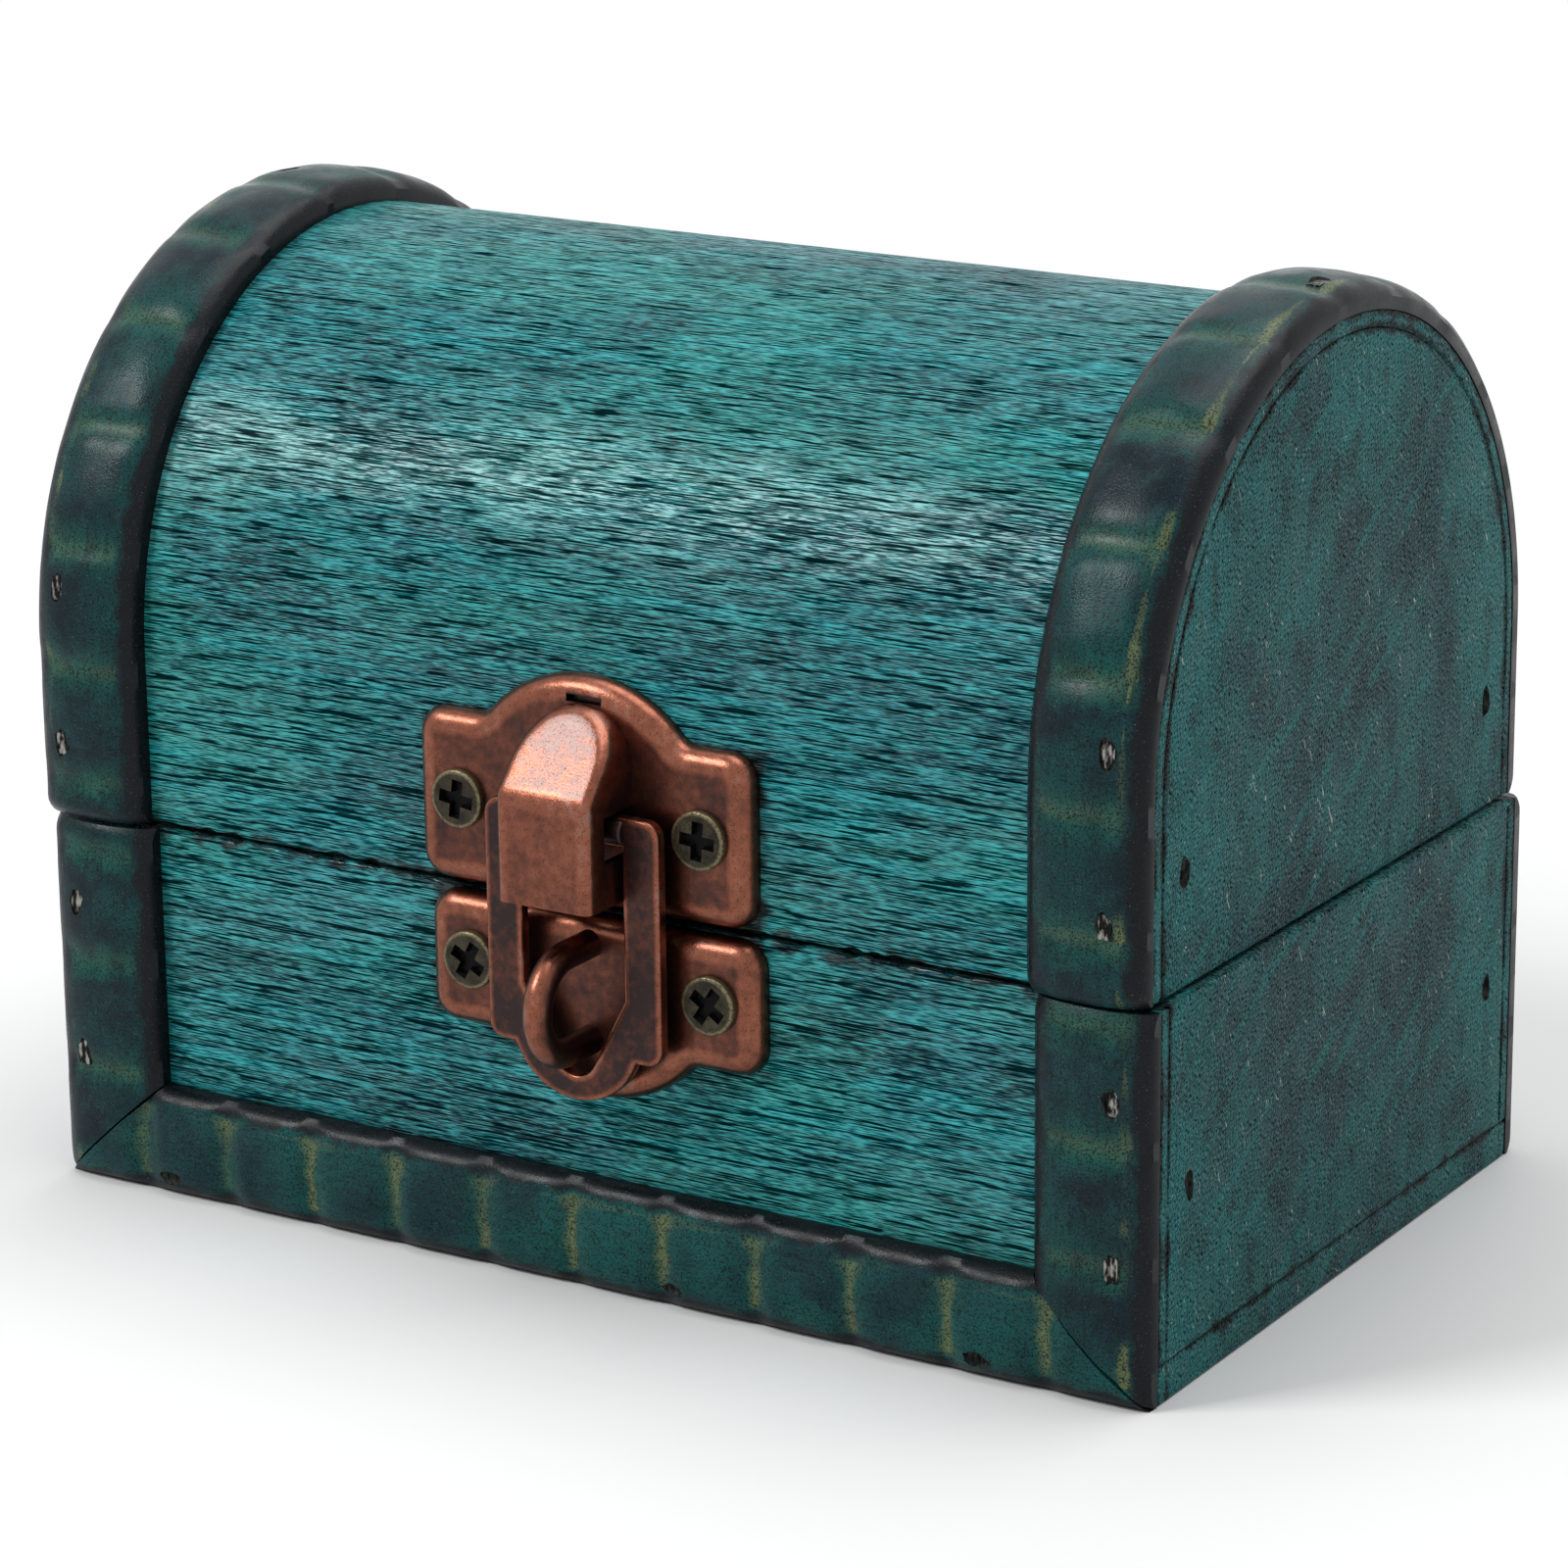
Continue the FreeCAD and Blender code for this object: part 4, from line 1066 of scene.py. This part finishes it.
def pressed_hood():
    """A box with a round top, cut back by a slope, rounded and hollowed from the back and below."""
    low, high = Vector(hood_low), Vector(hood_high)
    top = high.z - tab_rise
    high.z = top
    half_width = (high.x - low.x) / 2
    bm = block(low, high)
    shoulders = [edge for edge in bm.edges
                 if all(abs(vert.co.z - top) < touching for vert in edge.verts)
                 and abs(edge.verts[0].co.y - edge.verts[1].co.y) > touching]
    round_off(bm, shoulders, half_width * hood_round_share, hood_round_steps)
    fold = Vector((low.x, low.y, low.z + (top - low.z) * hood_fold_share))
    crest = Vector((low.x, high.y - hood_crest, top))
    slope = crest - fold
    out_of_slope = Vector((0, -slope.z, slope.y))
    slice_off(bm, fold, out_of_slope)
    bmesh.ops.recalc_face_normals(bm, faces=bm.faces[:])
    open_faces = [face for face in bm.faces if face.normal.y > 0.99 or face.normal.z < -0.99]
    bmesh.ops.delete(bm, geom=open_faces, context="FACES")
    rub_edges(bm, sharp_edges(bm, hood_fold_degrees), hood_edge, hood_edge_steps, wear_reach, hood_wear)
    wear = bm.verts.layers.float["wear"]
    # The slope gets more than full wear and is painted pale pink: rubbed by fingers, and a painted highlight
    # where the key light reflects.
    slope_way = out_of_slope.normalized()
    slope_faces = [face for face in bm.faces if face.normal.dot(slope_way) > 0.999]
    for vert in {vert for face in slope_faces for vert in face.verts}:
        vert[wear] = hood_slope_wear_and_sheen
    bmesh.ops.solidify(bm, geom=bm.faces[:], thickness=hood_metal)
    notch_from = Vector((low.x - hood_metal, high.y - notch_reach, notch_low))
    notch_to = Vector((high.x + hood_metal, high.y + hood_metal, notch_high))
    hood = carved(bm, block(notch_from, notch_to), [copper, copper])
    tab_low = Vector((slot_middle.x - tab_half_width, slot_middle.y + tab_sink, top - hood_metal))
    tab_high = Vector((slot_middle.x + tab_half_width, hood_high.y, hood_high.z - tab_ease))
    return gather([hood, eased_board(tab_low, tab_high, tab_ease)])


make_piece("latch_hood", "pressed", pressed_hood(), [copper], "lid")

# Upper screws: two more of the bronzed screws, driven through the upper plate's ears and the lid's sheet
# into the front rail. Their recesses stand nearly upright.
upper_screw_turns = (8, 4)
make_latch_screws("latch_upper_screws", "lid", upper_screw_turns)

# Hasp: a link stamped from thick copper-plated sheet, with a slot that narrows to an eye and a round bar
# across its top. The bar turns in the hood, and the eye drops over the staple to keep the chest shut.
hasp_metal = 1.0 * mm
hasp_corner = 1.2 * mm
hasp_edge = 0.2 * mm
hasp_edge_steps = 3
hasp_rim = 0.3 * mm
hasp_wear = 0.1
ring_radius = 5.2 * mm
ring_steps = 30
shoulder_level = 18.2 * mm
slot_half_width = 4.15 * mm
slot_top = 33.5 * mm
funnel_level = 22.6 * mm
eye_radius = 1.65 * mm
eye_level = 18.18 * mm
eye_steps = 20
bar_level = 34.5 * mm
bar_radius = 1.0 * mm
bar_length = 8.6 * mm
bar_sides = 20


def funnel_angle():
    """How far below level the funnel's side touches the eye, in degrees."""
    rise = funnel_level - eye_level
    reach = math.hypot(slot_half_width, rise)
    return math.degrees(math.acos(eye_radius / reach) - math.atan2(rise, slot_half_width))


def stamped_hasp():
    """The link's outline and its slot, given a thickness and rubbed edges, with its bar."""
    low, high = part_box("latch_hasp")
    middle = (low.x + high.x) / 2
    half_width = (high.x - low.x) / 2
    face_y = (low.y + high.y) / 2 + hasp_metal / 2
    corner_x = half_width - hasp_corner
    top_corner = high.z - hasp_corner
    low_corner = shoulder_level + hasp_corner
    ring_level = low.z + ring_radius
    ring_turn = math.degrees(math.asin((ring_level - shoulder_level) / ring_radius))
    ring_x = ring_radius * math.cos(math.radians(ring_turn))
    corner = (90, corner_steps)
    bm = bmesh.new()
    draw(bm, (middle + half_width, face_y, top_corner),
         (middle + corner_x, top_corner, *corner),
         (middle - corner_x, high.z),
         (middle - corner_x, top_corner, *corner),
         (middle - half_width, low_corner),
         (middle - corner_x, low_corner, *corner),
         (middle - ring_x, shoulder_level),
         (middle, ring_level, 180 - 2 * ring_turn, ring_steps),
         (middle + corner_x, shoulder_level),
         (middle + corner_x, low_corner, *corner),
         (middle + half_width, top_corner))
    funnel_turn = funnel_angle()
    eye_x = eye_radius * math.cos(math.radians(funnel_turn))
    eye_z = eye_radius * math.sin(math.radians(funnel_turn))
    draw(bm, (middle + slot_half_width, face_y, slot_top),
         (middle - slot_half_width, slot_top),
         (middle - slot_half_width, funnel_level),
         (middle - eye_x, eye_level - eye_z),
         (middle, eye_level, 180 - 2 * funnel_turn, eye_steps),
         (middle + slot_half_width, funnel_level),
         (middle + slot_half_width, slot_top))
    bmesh.ops.remove_doubles(bm, verts=bm.verts[:], dist=touching)
    bmesh.ops.triangle_fill(bm, edges=bm.edges[:], use_beauty=True)
    thicken(bm, hasp_metal)
    rims = [edge for edge in sharp_edges(bm, square_degrees)
            if abs(edge.verts[0].co.y - edge.verts[1].co.y) < hasp_edge]
    rub_edges(bm, rims, hasp_edge, hasp_edge_steps, hasp_rim, hasp_wear)
    bar = bmesh.new()
    across = Matrix.Translation((middle - bar_length / 2, face_y - hasp_metal / 2, bar_level))
    across = across @ Matrix.Rotation(math.pi / 2, 4, "Y")
    bmesh.ops.create_circle(bar, segments=bar_sides, radius=bar_radius, cap_ends=True, matrix=across)
    grown = bmesh.ops.extrude_face_region(bar, geom=bar.faces[:])["geom"]
    bmesh.ops.translate(bar, vec=(bar_length, 0, 0), verts=only(bmesh.types.BMVert, grown))
    round_off(bar, sharp_edges(bar, square_degrees), hasp_edge, hasp_edge_steps)
    return gather([bm, bar])


make_piece("latch_hasp", "stamped", stamped_hasp(), [copper], "hasp")

# Hinges: two small butt hinges on the back, pressed from the same copper-plated sheet as the latch. Each leaf
# is curled round a steel pin and screwed through the sheet into the board behind it.
leaf_ease = 0.15 * mm
leaf_ease_steps = 2
leaf_edge_degrees = 50
leaf_flat_degrees = 2
leaf_weld = 0.002 * mm
place_turn = 90
side_turn = 40


def eased_copy(node, ease):
    """A solid's own shape with its sharp edges rubbed round."""
    bm = bmesh.new()
    bm.from_mesh(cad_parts[node].data)
    bmesh.ops.remove_doubles(bm, verts=bm.verts[:], dist=leaf_weld)
    flat = math.radians(leaf_flat_degrees)
    bmesh.ops.dissolve_limit(bm, angle_limit=flat, verts=bm.verts[:], edges=bm.edges[:])
    round_off(bm, sharp_edges(bm, leaf_edge_degrees), ease, leaf_ease_steps, clamp_overlap=True)
    return bm


for body in ("base", "lid"):
    screw_node = f"hinge_{body}_screws"
    screw_low, screw_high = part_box(screw_node)
    radius = (screw_high.z - screw_low.z) / 2
    level = (screw_low.z + screw_high.z) / 2
    offset = screw_high.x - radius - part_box(f"hinge_{body}_leaf_right")[1].x
    places = []
    for side in ("left", "right"):
        node = f"hinge_{body}_leaf_{side}"
        make_piece(node, "eased", eased_copy(node, leaf_ease), [copper], body)
        low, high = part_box(node)
        middle = (low.x + high.x) / 2
        half_gap = (high.x - low.x) / 2 + offset
        for way in (-1, 1):
            place = Vector((middle + way * half_gap, screw_high.y, level))
            places.append((place, place_turn * middle / half_gap + side_turn * way))
    make_screws(screw_node, body, radius, places, half_turns=1)
dress(steel, "hinge_pin_left", "hinge_pin_right")

# Floor, light and camera: a plain pale table top under a wide soft light from above and to the left, on
# white, and a long lens in front, to the right and a little above.
floor_reach = 3.0
floor_fade_start = 0.07
floor_fade_end = 0.2
fill_strength = 0.3
light_aim = (0.0, 0.0, 0.035)
soft_lights = {
    "key_light": {"place": (-0.48, -0.53, 0.66), "size": 0.3, "power": 4.2},
    "top_light": {"place": (0.05, 0.12, 0.7), "size": 0.55, "power": 3.1},
}
camera_turn = math.radians(31.89)
camera_lift = math.radians(16.79)
camera_roll = math.radians(-0.64)
camera_distance = 397.5 * mm
camera_target = (-0.335 * mm, 0.0, 28.94 * mm)
lens = 126
sensor = 36


def seen_rays(nodes):
    """1 for what the camera sees, straight, mirrored or through something clear, and 0 for other light."""
    path = nodes.tree.nodes.new("ShaderNodeLightPath").outputs
    seen = nodes.math("MAXIMUM", path["Is Camera Ray"], path["Is Glossy Ray"])
    return nodes.math("MAXIMUM", seen, path["Is Transmission Ray"])


white = colour(255, 255, 255)
floor_mesh = bmesh.new()
bmesh.ops.create_grid(floor_mesh, x_segments=1, y_segments=1, size=floor_reach)
mesh = bpy.data.meshes.new("floor")
floor_mesh.to_mesh(mesh)
floor_mesh.free()
floor = bpy.data.objects.new("floor", mesh)
bpy.context.collection.objects.link(floor)

pale = {"Base Color": colour(250, 250, 250), "Roughness": 0.9, "Specular IOR Level": 0.0}
table = Finish("pale_table", pale)
distance = table.add("VectorMath", {0: table.point()}, "Value", operation="LENGTH")
faded = table.product(table.ramp(distance, floor_fade_start, floor_fade_end), seen_rays(table))
glow = table.add("Emission", {"Color": white, "Strength": 1.0})
mixed = table.add("MixShader", {0: faded, 1: table.shader.outputs[0], 2: glow})
table.tree.links.new(mixed, table.tree.nodes["Material Output"].inputs["Surface"])
mesh.materials.append(table.material)

scene = bpy.context.scene
scene.world = bpy.data.worlds.new("white_room")
room = Nodes(scene.world)
room.tree.nodes.clear()
fill = room.add("Background", {"Color": white, "Strength": fill_strength})
backdrop = room.add("Background", {"Color": white, "Strength": 1.0})
mixed = room.add("MixShader", {0: seen_rays(room), 1: fill, 2: backdrop})
surround = room.tree.nodes.new("ShaderNodeOutputWorld")
room.tree.links.new(mixed, surround.inputs["Surface"])

for name, light in soft_lights.items():
    lamp = bpy.data.lights.new(name, "AREA")
    lamp.shape = "SQUARE"
    lamp.size = light["size"]
    lamp.energy = light["power"]
    box = bpy.data.objects.new(name, lamp)
    box.location = light["place"]
    from_aim = Vector(light["place"]) - Vector(light_aim)
    box.rotation_euler = from_aim.to_track_quat("Z", "Y").to_euler()
    bpy.context.collection.objects.link(box)

lens_data = bpy.data.cameras.new("camera")
lens_data.lens = lens
lens_data.sensor_width = sensor
camera = bpy.data.objects.new("camera", lens_data)
bpy.context.collection.objects.link(camera)
back = Vector((math.sin(camera_turn) * math.cos(camera_lift), -math.cos(camera_turn) * math.cos(camera_lift),
               math.sin(camera_lift)))
camera.rotation_mode = "QUATERNION"
level_turn = back.to_track_quat("Z", "Y").to_matrix()
camera.rotation_quaternion = (level_turn @ Matrix.Rotation(camera_roll, 3, "Z")).to_quaternion()
camera.location = Vector(camera_target) + back * camera_distance
scene.camera = camera
scene.view_settings.view_transform = "Standard"
